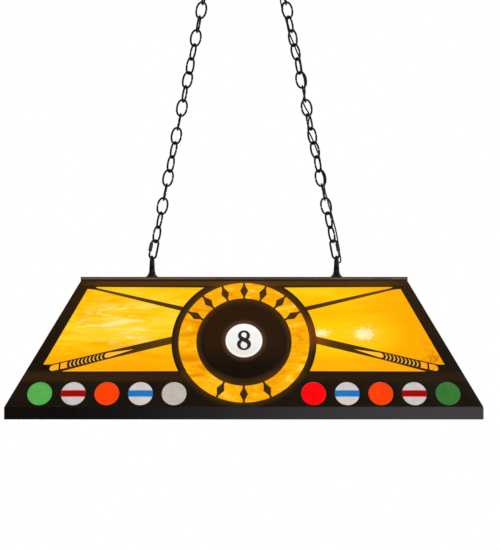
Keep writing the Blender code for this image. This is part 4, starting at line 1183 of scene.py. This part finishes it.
BAR_LOW, NUT_LOW = UNDER_LIP - 0.034, LAMP_TOP + GAP - LOOP_NIPPLE
for name, side in SIDES:
    bm = bmesh.new()
    for x in SOCKET_X:
        for finish, y in ((0, 0.0045), (1, -0.0045)):
            toward = 1 if x > LAMP_PIVOT.x else -1
            points = [Vector((side * out, back, up)) for out, back, up in (
                (LAMP_PIVOT.x, y * 0.35, NUT_LOW + 0.003),
                (LAMP_PIVOT.x + toward * 0.002, y * 0.5, NUT_LOW - 0.006),
                (LAMP_PIVOT.x + toward * 0.018, y * 1.6, BAR_LOW + 0.0085 + y),
                (x - toward * 0.014, y * 1.4, BAR_LOW + 0.0075 - y * 0.6),
                (x - toward * 0.001, y * 0.8, BAR_LOW + 0.0028),
            )]
            steer = [points[0] * 2 - points[1]] + points + [points[-1] * 2 - points[-2]]
            tube(smooth_path(steer, 0.003), 0.0011, 8, finish=finish, bm=bm)
    piece("socket_leads_" + name, bm, [BLACK_LEAD, WHITE_LEAD], SHADE)
    nuts = [(side * x, BAR_LOW + 0.0022, BAR_LOW + 0.005) for x in SOCKET_X]
    hex_nuts("socket_nuts_" + name, SHADE, nuts, 0.007, 0.004)

# ---------------- power cord

# Route along the right chain: link number, outward and back from the chain's axis in millimetres.
# Between its two ends the rows are half a link apart.
CORD_TOP_ROWS = ((19.35, -13, 8), (19.1, -13.5, 8), (18.8, -14, 7))
CORD_WEAVE = (
    (-14, 5), (-13, 3.5), (-13, 4.5), (-13, 6), (-9, 5.5), (-8, 3), (-8, -1), (-3.5, 3.5), (1, 8),
    (4, 3), (7.6, -2.4), (8, 0), (7.5, 6.5), (9.5, 6), (6.5, 5.5), (3, 0), (-6.6, -5.8), (-3.5, -6),
    (2.5, -7.5), (-2.5, -4.5), (-7.9, -1), (-3, 3), (2, 8), (5, 3.2), (7.7, -2.1), (8, 0.5),
    (7, 6.3), (9.5, 6), (6.3, 5.7), (5, 0), (6.3, -5.7), (7, -6), (9.5, -5.6), (11.5, 1), (13, 4),
    (13.8, 6), (13.6, 8),
)
CORD_FOOT_ROWS = ((0.2, 13, 8.4), (-0.15, 12.4, 8.6), (-0.4, 12, 8.6), (-0.62, 12, 7.8))
CORD_ROUTE = [(18.5 - 0.5 * i, *row) for i, row in enumerate(CORD_WEAVE)]
CORD_ROUTE = [*CORD_TOP_ROWS, *CORD_ROUTE, *CORD_FOOT_ROWS]
CORD_CROSSING = 0.012
CORD_EXIT = 0.0035
CORD_BEND, CORD_TILT = 0.0082, radians(40)
CORD_END_BEND = 0.0055
CORD_FOOT = -0.0228                # how deep the cord goes into a loop's neck
CORD_LEAD = 0.0008
CORD_STEP = 0.0025


def cord_path():
    """The cord's middle part, with the bends at both loops leaning back."""
    place = chain_frame(1)
    start = CORD_EXIT + CORD_LEAD
    corner = [(CORD_EXIT, 0)] + arc((start, CORD_BEND), CORD_BEND, 270, 360, 8)
    head, tail = [], []
    for out, rise in corner:
        back, up = rise * sin(CORD_TILT), rise * cos(CORD_TILT) - CORD_CROSSING
        head.append(CEILING_PIVOT + Vector((-out, back, -up)))
        tail.insert(0, LAMP_PIVOT + Vector((out, back, up)))
    route = []
    for link, out, back in CORD_ROUTE:
        route.append(place @ Vector((out / 1000, back / 1000, bar_height(link))))
    middle = smooth_path(head[-2:] + route + tail[:2], CORD_STEP)
    return head[:-1], middle, tail[1:]


def cord_end():
    """From the middle part's cut end into the loop's hole, relative to the lamp's pivot."""
    start = CORD_EXIT - CORD_LEAD
    points = [(CORD_EXIT, -CORD_CROSSING)]
    points += arc((start, -CORD_CROSSING - CORD_END_BEND), CORD_END_BEND, 90, 180, 8)
    return points + [(start - CORD_END_BEND, CORD_FOOT)]


head, middle, tail = cord_path()
upper_end = [CEILING_PIVOT + Vector((-x, 0, -z)) for x, z in reversed(cord_end())]
lower_end = [LAMP_PIVOT + Vector((x, 0, z)) for x, z in cord_end()]
SPLIT = 12


def cord_piece(name, path, replaces):
    return piece(name, tube(path, CORD / 2, 14), JACKET, None, replaces)


top_cord = cord_piece("cord_top_bend", upper_end[:-1] + head + middle[:SPLIT + 1], ["cord_ceiling_end"])
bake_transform(top_cord)
long_cord = cord_piece("cord_along_chain", middle[SPLIT:-SPLIT], ["power_cord"])
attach(long_cord, CHAIN["right"])
low_cord = cord_piece("cord_lamp_bend", middle[-SPLIT - 1:] + tail + lower_end[1:], ["cord_lamp_end"])
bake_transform(low_cord)

# ---------------- floor

disc = turned([(0, 0), (1.62, 0), (1.62, -0.01), (0, -0.01)], 96)
floor = piece("floor", disc, floor_finish(), None, place=shifted(0, 0, LAMP_BOTTOM - 0.85))
